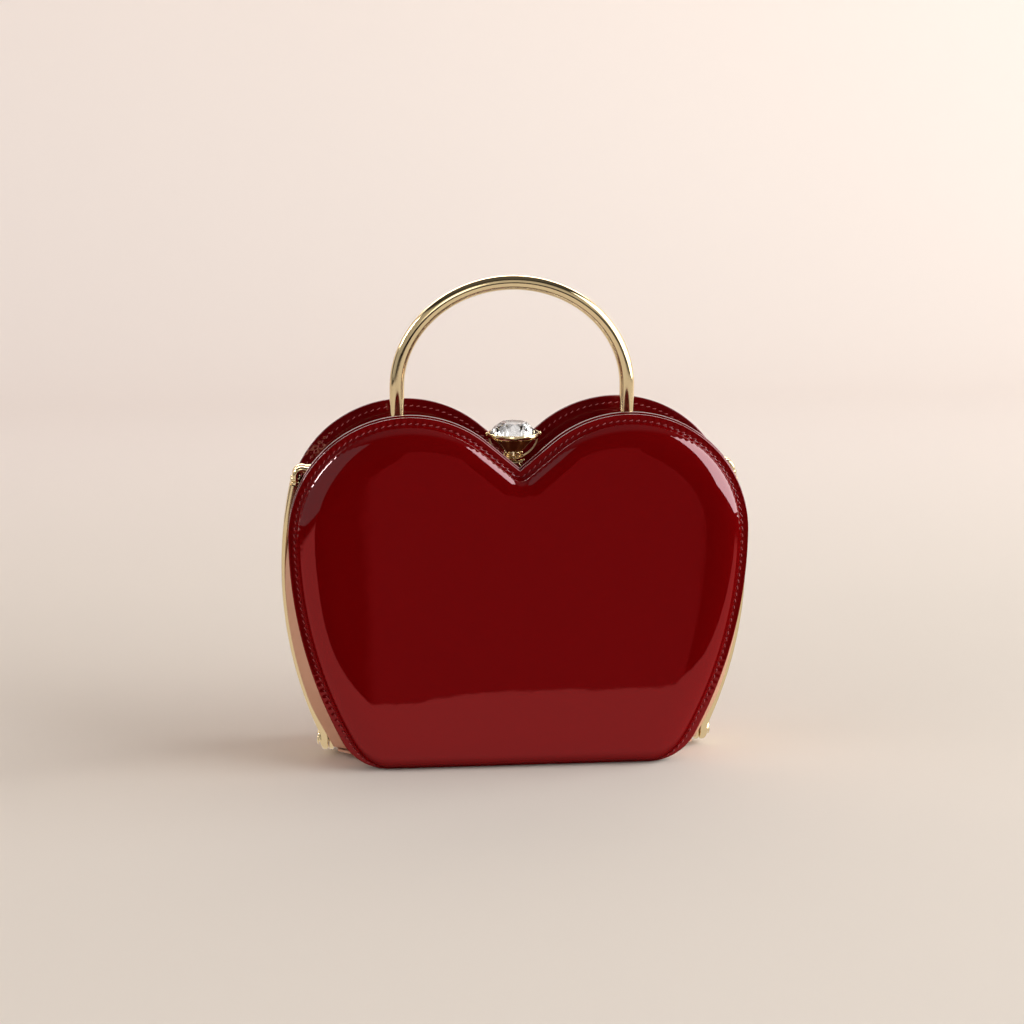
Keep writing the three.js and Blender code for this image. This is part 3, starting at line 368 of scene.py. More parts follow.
# Facings. The inner face of each panel is a second piece of patent leather, turned in round the same edge
# and held by the same row of stitches, with a crease pressed in along its edge.
FACING_BACK, FACING_FACE = 24.8, 22.5
CREASE_INSET, CREASE_DEPTH, CREASE_REACH = 6.2, 0.2, 0.4
FACING_PROUD, PROUD_REACH, PROUD_GAIN = 0.55, 4.0, 1.3  # it stands out past the cover where the edge faces up


def facing_body(half):
    profile = [(TURN_IN, FACING_BACK), *turned_edge(FACING_BACK, FACING_FACE)]
    profile += [(inset, FACING_FACE) for inset in (*np.linspace(FLAT_START, TURN_IN, 24), TOP_INSET)]
    rows = []
    for inset, depth in profile:
        near = depth < FACING_FACE + 0.8
        pucker, groove = sewn_dips(inset, FACING_PULL)
        crease = CREASE_DEPTH * math.exp(-((inset - CREASE_INSET) / CREASE_REACH) ** 2)
        proud = FACING_PROUD * smooth(-PROUD_GAIN * inward[:, 1]) * max(0, 1 - inset / PROUD_REACH)
        place = panel_loop(inset) - inward * proud[:, None]
        rows.append(upright(place, half * (depth + (pucker + groove + crease) * near)))
    return body_through(rows, upright(FIELD_CENTRE, half * FACING_BACK), upright(FIELD_CENTRE, half * FACING_FACE))


# Painted shade: the facings and the shoulder walls get a darker copy of the red patent leather. It stands for the
# shade they lie in inside the bag.
patent_red_painted_shade = new_material(
    "patent_leather_red_painted_shade", (0.118, 0.0008, 0.0016), 18, 0.2, 0.03, 0.06,
    IOR=2.0, Specular_Tint=(1.0, 0.55, 0.59, 1))
add_grain(patent_red_painted_shade, 140, 0.3, 0.00006)
for name, half in halves:
    fit(f"{name}_inner_facing", [facing_body(half)], patent_red_painted_shade, 60,
        f"{name}_half", "patent_red", f"{name}_facing")

# Stitches round the panels. Waxed red thread in a slanted lockstitch joins cover, board and facing; each
# stitch dives into its hole at both ends. The row stops where the padding turns in beneath the bag.
STITCH_LENGTH, THREAD_RADIUS, STITCH_LEAN = 1.8, 0.24, 18.0
STITCH_RISE, STITCH_SINK, STITCH_TAPER = 0.08, 0.26, 0.45
SEWN_FULLNESS, LOOK_AHEAD = 0.08, 0.4


def full_turn(count):
    return np.linspace(0, 2 * np.pi, count, endpoint=False)


def stitch_bodies(middles, along, out):
    """Bodies of short bowed stitches at those middles, each sinking at its ends."""
    bodies = []
    for middle, ahead in zip(middles, along):
        beside = np.cross(ahead, out)
        loops = []
        for t in np.linspace(-1, 1, 9):
            girth = THREAD_RADIUS * (1 - STITCH_TAPER * t ** 4)
            spine = middle + ahead * t * STITCH_LENGTH / 2 + out * (STITCH_RISE - STITCH_SINK * t * t)
            loops.append([spine + girth * (math.cos(a) * beside + math.sin(a) * out) for a in full_turn(8)])
        bodies.append(body_through(loops))
    return bodies


def along_line(at, marks, line):
    """Points of a line at those values, between its marks."""
    return np.stack([np.interp(at, marks, column) for column in line.T], axis=1)


thread_red = new_material("waxed_thread_red", (0.40, 0.075, 0.08), 300, 0.35, 0.18, 0.30)
tree = thread_red.node_tree
twist = add_node(tree, "TexWave", {"Vector": object_place(tree), "Scale": 900}, bands_direction="DIAGONAL")
press(thread_red, twist.outputs["Fac"], 0.00008)

sewn = np.flatnonzero(fullness > SEWN_FULLNESS)
row_start, row_end = seam_length[sewn[0]] / STITCH_PITCH, seam_length[sewn[-1]] / STITCH_PITCH
stitch_at = (np.arange(math.ceil(row_start), row_end - 0.5) + 0.5) * STITCH_PITCH
stitch_place = along_line(stitch_at, seam_length, seam_line)
stitch_next = along_line(stitch_at + LOOK_AHEAD, seam_length, seam_line)
stitch_turn = np.arctan2(*(stitch_next - stitch_place).T[::-1]) + math.radians(STITCH_LEAN)
along = upright(np.c_[np.cos(stitch_turn), np.sin(stitch_turn)], 0.0)
for name, half in halves:
    for row, depth, out in (("cover", EDGE_DEPTH - STITCH_GROOVE, half),
                            ("facing", FACING_FACE + STITCH_GROOVE, -half)):
        stitches = stitch_bodies(upright(stitch_place, half * depth), along, np.array([0, out, 0]))
        fit(f"{name}_{row}_stitches", stitches, thread_red, 70, f"{name}_half", "patent_red")

# Side and top walls. Leather strips stand between each panel and its half of the frame: tan hide down the
# sides, patent leather over the shoulders and along the top. They are sewn to the facing and gripped by
# the frame, and they sink a little between the two.
WALL = 1.6
WALL_FOOT_DEPTH, RIM_DEPTH = 22.45, 5.35
WALL_SAG = 1.1
ARM_WIDEST, ARM_WIDEST_HEIGHT, ARM_RADIUS, ARM_TOP = 108.4, 88.0, 190.0, 129.2
FLARE_FOOT, FLARE_RUN = 82.0, 42.0  # heights over which the arm flares
RIM_TUCK, FOOT_TUCK, UPPER_TUCK, TUCK_RUN = 1.6, 3.2, 2.3, 24.0
RIM_FOOT, GUSSET_START = 4.5, -85.0
ELBOW_RADIUS = 3.0
elbow_centre = np.array([98.05, 133.2])


def arm_outer(height):
    return ARM_WIDEST - ARM_RADIUS + np.sqrt(ARM_RADIUS ** 2 - (height - ARM_WIDEST_HEIGHT) ** 2)


def upper_tuck(height):
    """How much further in the rim of a wall sits behind the flare of the arm."""
    return UPPER_TUCK * smooth((height - FLARE_FOOT) / FLARE_RUN)


def left_normals(path):
    """Unit normals to the left of an open path of points."""
    ahead = np.gradient(path, axis=0)
    ahead /= np.linalg.norm(ahead, axis=1)[:, None]
    return np.c_[-ahead[:, 1], ahead[:, 0]]


def wall_body(seam, seam_in, rim, half):
    """A strip of leather from a seam on the facing to a rim behind the frame, as thick as its hide."""
    rim_in = left_normals(rim)
    outer, inner = [], []
    for v in np.linspace(0, 1, 10):
        place, lead = seam + (rim - seam) * v, seam_in + (rim_in - seam_in) * v
        depth = half * (WALL_FOOT_DEPTH + (RIM_DEPTH - WALL_FOOT_DEPTH) * v)
        sag = WALL_SAG * math.sin(math.pi * v) ** 2
        outer.append(upright(place + lead * sag, depth))
        inner.append(upright(place + lead * (sag + WALL), depth))
    return body_through(np.stack(outer + inner[::-1], axis=1))


def on_hand(body, hand):
    """A body of the right side, or its mirror image on the left."""
    return body[0] * [hand, 1, 1], body[1]


tan_leather = new_material("tan_smooth_leather", (0.64, 0.34, 0.225), 45, 0.16, 0.38, 0.55)
add_grain(tan_leather, 1400, 0.6, 0.00006)

gusset_edge, gusset_away = arc(foot_centre, FOOT_RADIUS, GUSSET_START, foot_end, 20)
gusset_edge = np.r_[gusset_edge, side[::6], [[PANEL_HALF, SHOULDER]]]
gusset_in = -np.r_[gusset_away, side_away[::6], [[1.0, 0.0]]]
gusset_seam = gusset_edge + SEAM_INSET * gusset_in
gusset_share = (gusset_seam[:, 1] - gusset_seam[0, 1]) / (gusset_seam[-1, 1] - gusset_seam[0, 1])
rim_height = RIM_FOOT + (SHOULDER - RIM_FOOT) * gusset_share
rim_tuck = FOOT_TUCK + (RIM_TUCK - FOOT_TUCK) * smooth((rim_height - RIM_FOOT) / TUCK_RUN)
gusset_rim = np.c_[arm_outer(rim_height) - (rim_tuck + upper_tuck(rim_height)), rim_height]
for name, half in halves:
    gusset_body = wall_body(gusset_seam, gusset_in, gusset_rim, half)
    for hand_name, hand in hands:
        fit(f"{name}_side_wall_{hand_name}", [on_hand(gusset_body, hand)], tan_leather, 40,
            f"{name}_half", "tan_leather", f"{name}_gusset_{hand_name}")

# The line of the frame's top bar, from the lobe to the notch, and the wall that joins it
BAR_NOTCH_ROUND = 1.2
SHOULDER_START = 0.6  # degrees up the lobe, and millimetres up the arm, where the patent leather begins
ELBOW_MARKS = [[97.6, 132.6], [94.6, 134.4], [88.0, 136.6]]  # the wall's rim under the elbow of the frame
bar_lobe, bar_lobe_away = arc(lobe_centre, LOBE_RADIUS - TOP_INSET, BAR_TANGENT, notch_start, 44)
bar_notch, bar_notch_in = notch_line(TOP_INSET, BAR_NOTCH_ROUND, 14, 9)
bar_right, bar_right_in = np.r_[bar_lobe, bar_notch], np.r_[-bar_lobe_away, bar_notch_in]

shoulder_share = np.linspace(0, 1, 40, endpoint=False)
_, shoulder_away = arc(np.zeros(2), 1, SHOULDER_START, BAR_TANGENT, 40)
shoulder_inset = SEAM_INSET + (TOP_INSET - SEAM_INSET) * smooth(shoulder_share)
shoulder_seam = lobe_centre + (LOBE_RADIUS - shoulder_inset)[:, None] * shoulder_away
rim_rise = np.linspace(SHOULDER + SHOULDER_START, ARM_TOP, 4)
rim_marks = np.r_[
    np.c_[arm_outer(rim_rise) - RIM_TUCK - upper_tuck(rim_rise), rim_rise], ELBOW_MARKS, bar_lobe[:1]]
shoulder_rim = along_line(shoulder_share, np.linspace(0, 1, len(rim_marks)), rim_marks)
top_seam = mirrored(np.r_[shoulder_seam, bar_right])
top_rim = mirrored(np.r_[shoulder_rim, bar_right])
top_in = mirrored(np.r_[-shoulder_away, bar_right_in])
# The shoulder walls take the darker copy of the patent leather: painted shade.
for name, half in halves:
    fit(f"{name}_shoulder_wall", [wall_body(top_seam, top_in, top_rim, half)], patent_red_painted_shade, 40,
        f"{name}_half", "patent_red", f"{name}_top_wall")

# Linings. A sheet of brushed suede is cut to the inside of each panel, up to the walls, and glued
# stretched over the facing.
LINING_FACE, LINING_BACK, LINING_GAP = 21.2, 22.2, 0.4
suede = new_material(
    "brushed_suede", (0.47, 0.25, 0.155), 60, 0.35, 0.85, 0.97, Sheen_Weight=0.5, Sheen_Roughness=0.4)
add_grain(suede, 3200, 0.2, 0.00012)
lining_edge = edge + inward * (wall_inset + WALL + LINING_GAP)[:, None]
lining_rows = [lining_edge[::3] + (FIELD_CENTRE - lining_edge[::3]) * share for share in (0, 0.01, 0.3, 0.6, 0.85)]
for name, half in halves:
    loops = [upright(place, half * LINING_BACK) for place in lining_rows[::-1]]
    loops += [upright(place, half * LINING_FACE) for place in lining_rows]
    tips = [upright(FIELD_CENTRE, half * depth) for depth in (LINING_BACK, LINING_FACE)]
    lining = fit(f"{name}_suede_lining", [body_through(loops, *tips)], suede, 40,
                 f"{name}_half", "suede", f"{name}_lining")

# Bottom leather. One tan strip under the bag joins the two halves: flat on the ground in the middle, turned
# up at its ends beneath the side walls.
BOTTOM_LEATHER, BOTTOM_FLAT, BOTTOM_TIP = 1.0, 57.2, 83.7
BOTTOM_MARKS = [0, BOTTOM_FLAT, 62.3, 73.0, BOTTOM_TIP]
BOTTOM_TOPS = [1.0, 1.0, 2.78, 3.38, 3.99]
BOTTOM_REACHES = [22.4, 22.4, 22.4, 15.1, 8.0]
bottom_x = np.r_[
    np.linspace(0, BOTTOM_FLAT, 24, endpoint=False), np.linspace(BOTTOM_FLAT, BOTTOM_TIP, 20)]
bottom_x = np.r_[-bottom_x[:0:-1], bottom_x]
for name, half in halves:
    loops = []
    for x in bottom_x:
        top = np.interp(abs(x), BOTTOM_MARKS, BOTTOM_TOPS)
        ys = half * np.linspace(0, np.interp(abs(x), BOTTOM_MARKS, BOTTOM_REACHES), 14)
        loops.append([[x, y, top] for y in ys] + [[x, y, top - BOTTOM_LEATHER] for y in ys[::-1]])
    strip = make_piece(f"{name}_bottom_leather", [body_through(loops)], tan_leather, 40)
    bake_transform(strip)
    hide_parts("bottom_gusset")


# Base board. A strip of fibreboard, cut from sheet with its edges broken, stiffens the bottom. It lies
# inside the bag, on the leather.
def ease_edges(piece, width, segments, angle=30):
    """Rounds the edges of a piece that are sharper than that angle."""
    edges = piece.modifiers.new("eased_edges", "BEVEL")
    edges.width = width * MM
    edges.segments = segments
    edges.limit_method = "ANGLE"
    edges.angle_limit = math.radians(angle)


def dress(node, material, width, segments):
    """Gives a solid of the frame its material and its rounded edges."""
    piece = frame["nodes"][node]
    piece.data.materials.clear()
    piece.data.materials.append(material)
    ease_edges(piece, width, segments)


fibreboard = new_material("base_fibreboard", (0.25, 0.17, 0.10), 220, 0.5, 0.8, 0.95)
add_grain(fibreboard, 2400, 0.1, 0.0001)
dress("base_board", fibreboard, 0.4, 2)

# Bellows. A folded leaf of tan leather closes the gap between the arms on each side; its fold points into
# the bag.
BELLOWS_FOOT, BELLOWS_TOP = 13.0, 125.8
FOOT_TOP, BEND, EYE_INSIDE = 12.0, 14.4, 85.6  # where the arms bend in to their eyes
BELLOWS_FOLD, BELLOWS_MOUTH, BELLOWS_LEATHER = 22.0, 3.7, 1.2
LEAF_GAP, LEAF_BOW = 0.6, 0.9
ARM_STRIP, ARM_FLARE = 2.1, 1.0
CORNER_SWELL, SWELL_FOOT, SWELL_RUN = 1.7, 107.2, 22.0


def arm_thickness(height):
    corner = CORNER_SWELL * smooth((height - SWELL_FOOT) / SWELL_RUN)
    return ARM_STRIP + corner + ARM_FLARE * smooth((height - FLARE_FOOT) / FLARE_RUN)


run = np.linspace(0, 1, 16)
leaf_y = BELLOWS_MOUTH * run ** 0.85
leaf_back = np.maximum(leaf_y - BELLOWS_LEATHER * (0.25 + 0.75 * run), 0)
loops = []
for z in np.linspace(BELLOWS_FOOT, BELLOWS_TOP, 48):
    bent_in = EYE_INSIDE + (arm_outer(z) - EYE_INSIDE - ARM_STRIP) * smooth((z - FOOT_TOP) / BEND)
    mouth = min(arm_outer(z) - arm_thickness(z), bent_in) - LEAF_GAP
    x = mouth - BELLOWS_FOLD * (1 - run) + LEAF_BOW * np.sin(np.pi * run)
    front_face = np.c_[x, leaf_y, np.full(16, z)]
    back_face = np.c_[x + LEAF_BOW * (1 - run), leaf_back, np.full(16, z)]
    loops.append(np.r_[front_face, back_face[::-1]])
for name, half in halves:
    for hand_name, hand in hands:
        leaf_body = body_through(np.array(loops) * [hand, half, 1])
        leaf = make_piece(f"{name}_bellows_leaf_{hand_name}", [leaf_body], tan_leather, 60)
        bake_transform(leaf)
        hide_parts(f"bellows_{hand_name}")

# Frame bars and arms. Bent from brass strip and plated pale gold: a bar along the top of each half with an
# elbow at its corners, and an arm down each side that flares under the corner and ends in a riveted eye.
FRAME_WIDTH, FRAME_MIDDLE = 4.9, 2.75
BAR_HEIGHT, BAR_SQUARE, ARM_SQUARE = 2.6, 3.0, 6.0
CURL_RADIUS, CURL_END, CURL_HEAVIER, CURL_ROUNDER = 2.9, 118.0, 0.7, 0.6
CURL_SHIFT, CURL_STEM = [0.1, 0.5], 2.5
CURL_PULL, BAR_PULL = 4.0, 12.0  # how long the curl and the bar keep their lines where they meet


def oval(across, depth, squareness, sides=28):
    """Section of a rod: offsets across it and front to back, squarer for a larger squareness."""
    c, s = np.cos(full_turn(sides)), np.sin(full_turn(sides))
    reach = (np.abs(c) ** squareness + np.abs(s) ** squareness) ** (-1 / squareness)
    return np.c_[across / 2 * c * reach, depth / 2 * s * reach]


def rod(path, sections, y):
    """A solid rod along a path of the x-z plane, with one section for each point of it."""
    return body_through([upright(p + n * section[:, :1], y + section[:, 1])
                         for p, n, section in zip(path, left_normals(path), sections)])


def turned(profile, sides=56, ring=False):
    """A body turned about the z axis from pairs of radius and height, or a ring from a closed profile."""
    around = full_turn(sides)
    loops = [np.c_[r * np.cos(around), r * np.sin(around), np.full(sides, z)] for r, z in profile]
    return body_through(loops, ring=ring)


def bezier(share, *points):
    """Points at those shares of a curve that leaves and ends towards its middle points."""
    while len(points) > 1:
        points = [a + (b - a) * share for a, b in zip(points, points[1:])]
    return points[0]


def eased(profile, radius, steps=5):
    """The same profile with its inner corners rounded off."""
    profile = np.asarray(profile, float)
    out = [profile[0]]
    for before, corner, after in zip(profile, profile[1:], profile[2:]):
        a, b = before - corner, after - corner
        cut = min(radius, 0.45 * np.linalg.norm(a), 0.45 * np.linalg.norm(b))
        a, b = corner + a / np.linalg.norm(a) * cut, corner + b / np.linalg.norm(b) * cut
        out += [bezier(t, a, corner, b) for t in np.linspace(0, 1, steps)]
    return np.array(out + [profile[-1]])


def disc(low, high, radius, core, rounding):
    """A disc turned about the z axis, with rounded rims."""
    return turned(eased([(core, low), (radius, low), (radius, high), (core, high)], rounding))


def along_x(body, y, z):
    """Lays a turned body along the x axis at that height."""
    points, faces = body
    return np.c_[points[:, 2], points[:, 1] + y, z - points[:, 0]], faces


gold = new_material("plated_pale_gold", (0.80, 0.635, 0.37), 90, 0.12, 0.09, 0.17, Metallic=1.0)
tree = gold.node_tree
rub = add_node(tree, "TexNoise", {"Vector": object_place(tree), "Scale": 700, "Detail": 5})
press(gold, rub.outputs["Fac"], 0.000006)

curl, curl_away = arc(elbow_centre + CURL_SHIFT, CURL_RADIUS, 0, CURL_END, 28)
curl_lead, bar_lead = curl_away[-1] @ [[0, 1], [-1, 0]], bar_lobe_away[0] @ [[0, 1], [-1, 0]]
t = np.linspace(0, 1, 30, endpoint=False)[1:, None]
link = bezier(t, curl[-1], curl[-1] + CURL_PULL * curl_lead, bar_lobe[0] - BAR_PULL * bar_lead, bar_lobe[0])
bar_line = mirrored(np.r_[[[curl[0, 0], ARM_TOP + CURL_STEM]], curl, link, bar_right])
curl_share = np.r_[
    np.ones(1 + len(curl)), 1 - smooth(np.linspace(0, 1, len(link))), np.zeros(len(bar_right))]
bar_sections = [
    oval(BAR_HEIGHT + CURL_HEAVIER * s, FRAME_WIDTH, BAR_SQUARE - CURL_ROUNDER * s) for s in curl_share]
bar_sections += bar_sections[-2::-1]
for name, half in halves:
    fit(f"{name}_frame_bar", [rod(bar_line, bar_sections, half * FRAME_MIDDLE)], gold, 60,
        f"{name}_half", "gold", f"{name}_top_bar")

RIVET_HEIGHT, EYE_RADIUS, EYE_CORE, EYE_GAP = 6.5, 4.8, 0.4, 0.3
FOOT_CLUB, FOOT_MESH_TOP = 4.2, 30.0
FRONT_FOOT, FRONT_BEND, SLIM_FOOT, SLIM_RUN = 3.5, 9.0, 8.0, 20.0  # the front arm bends and slims lower down
EYE_SLANT = 0.3
eye_outside = arm_outer(RIVET_HEIGHT + EYE_RADIUS)
back_eye_outside = eye_outside - FOOT_CLUB - EYE_GAP
heights = np.r_[
    np.linspace(RIVET_HEIGHT, FOOT_MESH_TOP, 26, endpoint=False), np.linspace(FOOT_MESH_TOP, ARM_TOP, 60)]
back_bend = smooth((heights - FOOT_TOP) / BEND)
front_bend, front_slim = smooth((heights - FRONT_FOOT) / FRONT_BEND), smooth((heights - SLIM_FOOT) / SLIM_RUN)
for name, half, club, face, bend, slim, least, rounding, slant in (
        ("front", -1, FOOT_CLUB, eye_outside, front_bend, front_slim, eye_outside - FOOT_CLUB, 1.6, EYE_SLANT),
        ("back", 1, ARM_STRIP, back_eye_outside, back_bend, back_bend, 0.0, 0.8, 0.0)):
    outer = face + (arm_outer(heights) - face) * bend
    inner = np.maximum(outer - club - (arm_thickness(heights) - club) * slim, least)
    line = np.c_[(outer + inner) / 2, heights]
    strip = rod(line, [oval(t, FRAME_WIDTH, ARM_SQUARE) for t in outer - inner], half * FRAME_MIDDLE)
    eye_points, eye_faces = along_x(disc(face - club, face, EYE_RADIUS, EYE_CORE, rounding), 0, RIVET_HEIGHT)
    eye_points[:, 0] += slant * (eye_points[:, 2] - RIVET_HEIGHT) * (eye_points[:, 0] - face + club) / club
    for hand_name, hand in hands:
        arm_bodies = [on_hand(strip, hand), on_hand((eye_points, eye_faces), hand)]
        fit(f"{name}_frame_arm_{hand_name}", arm_bodies, gold, 50,
            f"{name}_half", "gold", f"{name}_arm_{hand_name}")

# Corner beads. Turned brass, plated like the frame: two rings with a groove between them sit on each arm,
# under the elbow of the bar.
BEAD_FOOT, BEAD_HEIGHT, BEAD_RADIUS, BEAD_CORE, BEAD_ROUND = 129.5, 3.4, 2.45, 0.5, 0.55
GROOVE_DEPTH, GROOVE_HALF = 0.75, 0.25
bead_half = BEAD_HEIGHT / 2
bead_profile = eased([
    (BEAD_CORE, 0), (BEAD_RADIUS, 0), (BEAD_RADIUS, bead_half - GROOVE_HALF),
    (BEAD_RADIUS - GROOVE_DEPTH, bead_half), (BEAD_RADIUS, bead_half + GROOVE_HALF),
    (BEAD_RADIUS, BEAD_HEIGHT), (BEAD_CORE, BEAD_HEIGHT)], BEAD_ROUND)


def moved(body, *by):
    return body[0] + by, body[1]


for name, half in halves:
    for hand_name, hand in hands:
        corner = (hand * (elbow_centre[0] + ELBOW_RADIUS), half * FRAME_MIDDLE, BEAD_FOOT)
        fit(f"{name}_bead_{hand_name}", [moved(turned(bead_profile), *corner)], gold, 60,
            f"{name}_half", "gold", f"{name}_corner_bead_{hand_name}")

# Rivets. Brass pins, headed over at both ends to low domes, hold the eyes of the two arms together on each
# side, with room for them to turn.
RIVET_RADIUS, RIVET_HEAD, RIVET_CROWN = 1.1, 2.4, 1.0


def domed_pin(low, high, radius, head, crown, sweep, steps):
    """A pin turned about the z axis, with a domed head past each end."""
    dome = [(head * math.cos(a), crown * math.sin(a)) for a in np.radians(np.linspace(0, sweep, steps))]
    return turned([(r, low - rise) for r, rise in dome[::-1]] + [(radius, low), (radius, high)]
                  + [(r, high + rise) for r, rise in dome], 40)


rivet_body = along_x(domed_pin(back_eye_outside - ARM_STRIP - EYE_GAP, eye_outside + EYE_GAP,
                               RIVET_RADIUS, RIVET_HEAD, RIVET_CROWN, 84, 10), 0, RIVET_HEIGHT)
for hand_name, hand in hands:
    fit(f"arm_rivet_{hand_name}", [on_hand(rivet_body, hand)], gold, 50,
        "back_half", "gold", f"hinge_rivet_{hand_name}")

# Hoop handle. A round brass rod bent to an arch and plated; each leg is flattened at its foot to an eye
# that swings on a pin.
HANDLE_TUBE, HANDLE_DEPTH, LEG_X = 6.8, 12.0, 53.65
PIVOT, ARCH_FOOT, ARCH_RISE = 153.05, 171.05, 48.6
HOOP_EYE_RADIUS, HOOP_EYE_WIDTH, HOOP_EYE_ROUND, NECK_DEPTH = 4.0, 4.0, 0.8, 5.5
SWELL_START, LEG_SWELL = 0.2, 2.2
leg_foot = PIVOT + HOOP_EYE_RADIUS + 0.3
leg_heights = np.r_[
    np.linspace(PIVOT, leg_foot + SWELL_START, 6), np.linspace(leg_foot + 0.5, leg_foot + 2.6, 9),
    np.linspace(leg_foot + 3.5, ARCH_FOOT, 6, endpoint=False)]
leg = np.c_[np.full(len(leg_heights), LEG_X), leg_heights]
_, arch_away = arc(np.zeros(2), 1, 0, 180, 150)
arch = [0, ARCH_FOOT] + arch_away * [LEG_X, ARCH_RISE]
hoop_line = np.r_[leg, arch, (leg * [-1, 1])[::-1]]
swell_share = np.clip((leg_heights - leg_foot - SWELL_START) / LEG_SWELL, 0, 1)
leg_sections = [
    oval(HOOP_EYE_WIDTH + (HANDLE_TUBE - HOOP_EYE_WIDTH) * s, NECK_DEPTH + (HANDLE_TUBE - NECK_DEPTH) * s,
         4 - 2 * s, 36) for s in np.sqrt(swell_share * (2 - swell_share))]
hoop_sections = leg_sections + [oval(HANDLE_TUBE, HANDLE_TUBE, 2, 36)] * len(arch) + leg_sections[::-1]
hoop_bodies = [rod(hoop_line, hoop_sections, HANDLE_DEPTH)]
hoop_eye = disc(-HOOP_EYE_WIDTH / 2, HOOP_EYE_WIDTH / 2, HOOP_EYE_RADIUS, 0.5, HOOP_EYE_ROUND)
for _, hand in hands:
    hoop_bodies.append(moved(along_x(hoop_eye, HANDLE_DEPTH, PIVOT), hand * LEG_X, 0, 0))
fit("hoop_handle", hoop_bodies, gold, 50, "handle", "gold", "handle_hoop")

# Handle lugs and pins. A lug with two round ears is fixed behind each top of the back bar, and a domed pin
# goes through its ears and the eye of the handle.
PIN_RADIUS, PIN_HEAD, PIN_CROWN, PIN_REACH = 1.3, 1.9, 1.2, 4.4
pin_body = along_x(
    domed_pin(-PIN_REACH, PIN_REACH, PIN_RADIUS, PIN_HEAD, PIN_CROWN, 82, 8), HANDLE_DEPTH, PIVOT)
for hand_name, hand in hands:
    dress(f"handle_lug_{hand_name}", gold, 0.3, 3)
    fit(f"pivot_pin_{hand_name}", [moved(pin_body, hand * LEG_X, 0, 0)], gold, 50,
        "back_half", "gold", f"handle_pin_{hand_name}")

# Clasp on the back half. A seat fills the notch of the bar and carries a barrel with a spring inside it,
# closed by a cap with a hole for the button's stem.
BUTTON_DEPTH = 6.0
BARREL_FOOT, BARREL_FLOOR, BARREL_TOP, BARREL_RADIUS, BORE = 125.34, 1.3, 133.04, 4.5, 3.2
CAP_FOOT, CAP_TOP, CAP_RADIUS, CAP_HOLE = 133.34, 134.44, 6.0, 2.6
SPRING_WIRE, SPRING_RADIUS, SPRING_TURNS = 0.5, 2.4, 3
dress("clasp_seat", gold, 0.5, 3)


def eased_ring(profile, radius):
    """A closed profile with all its corners rounded off."""
    profile = np.asarray(profile, float)
    return eased(np.r_[profile[-1:], profile, profile[:1]], radius)[1:-1]


def at_button(body):
    return moved(body, 0, BUTTON_DEPTH, 0)


barrel_profile = eased([
    (0.5, BARREL_FOOT), (BARREL_RADIUS, BARREL_FOOT), (BARREL_RADIUS, BARREL_TOP), (BORE, BARREL_TOP),
    (BORE, BARREL_FOOT + BARREL_FLOOR), (0.5, BARREL_FOOT + BARREL_FLOOR)], 0.35)
fit("spring_barrel", [at_button(turned(barrel_profile))], gold, 50, "back_half", "gold", "clasp_barrel")
cap_profile = eased_ring([
    (CAP_HOLE, CAP_FOOT), (CAP_RADIUS, CAP_FOOT), (CAP_RADIUS, CAP_TOP), (CAP_HOLE, CAP_TOP)], 0.45)
fit("barrel_cap", [at_button(turned(cap_profile, ring=True))], gold, 60, "back_half", "gold", "clasp_cap")

spring_steel = new_material("spring_wire_steel", (0.50, 0.51, 0.53), 400, 0.2, 0.22, 0.34, Metallic=1.0)
spring_low, spring_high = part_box("clasp_spring")
spring_foot, spring_top = spring_low.z / MM + SPRING_WIRE / 2, spring_high.z / MM - SPRING_WIRE / 2
wire_turn = full_turn(10)
loops = []
for share in np.linspace(0, 1, SPRING_TURNS * 40 + 1):
    a = share * SPRING_TURNS * 2 * math.pi
    r = SPRING_RADIUS + SPRING_WIRE / 2 * np.cos(wire_turn)
    z = spring_foot + (spring_top - spring_foot) * share + SPRING_WIRE / 2 * np.sin(wire_turn)
    loops.append(np.c_[r * math.cos(a), BUTTON_DEPTH + r * math.sin(a), z])
spring = fit("return_spring", [body_through(loops)], spring_steel, 60, "back_half", "spring_steel", "clasp_spring")
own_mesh(spring)

# Catch on the front half. A post stands in the notch of the front bar; it carries a crescent cradle and a
# fork whose prongs slide round the neck of the button.
FORK_FOOT, FORK_TOP, FORK_GAP, FORK_HALF, PRONG_REACH = 135.24, 136.44, 2.75, 4.55, 2.3
POST_FRONT, POST_BACK, SEAT_FOOT, POST_TOP, POST_TIP_HALF = -4.7, -2.0, 118.74, 138.24, 1.6
CRADLE_RADIUS, CRADLE_SWEEP, CRADLE_WIRE = 6.5, 84.0, 1.2
cradle, _ = arc(np.array([0, POST_TOP + CRADLE_RADIUS]), CRADLE_RADIUS,
                270 - CRADLE_SWEEP / 2, 270 + CRADLE_SWEEP / 2, 60)
taper = 0.55 + 0.45 * np.sin(np.linspace(0.15, np.pi - 0.15, 60)) ** 0.6
cradle_sections = [oval(CRADLE_WIRE * s, (POST_BACK - POST_FRONT) * s, 2.6) for s in taper]
cradle_body = rod(cradle, cradle_sections, (POST_FRONT + POST_BACK) / 2)
post_side = SEAT_FOOT + FORK_GAP * math.tan(notch_turn)
post = [(0, SEAT_FOOT), (FORK_GAP, post_side), (FORK_GAP, FORK_TOP), (POST_TIP_HALF, POST_TOP),
        (-POST_TIP_HALF, POST_TOP), (-FORK_GAP, FORK_TOP), (-FORK_GAP, post_side)]
post_body = body_through([[[x, y, z] for x, z in post] for y in (POST_FRONT, POST_BACK)])
prong_end = BUTTON_DEPTH + PRONG_REACH
throat, _ = arc(np.array([0, BUTTON_DEPTH]), FORK_GAP, 0, -180, 20)
fork = [(-FORK_HALF, POST_FRONT), (FORK_HALF, POST_FRONT), (FORK_HALF, prong_end), (FORK_GAP, prong_end),
        *throat.tolist(), (-FORK_GAP, BUTTON_DEPTH), (-FORK_GAP, prong_end), (-FORK_HALF, prong_end)]
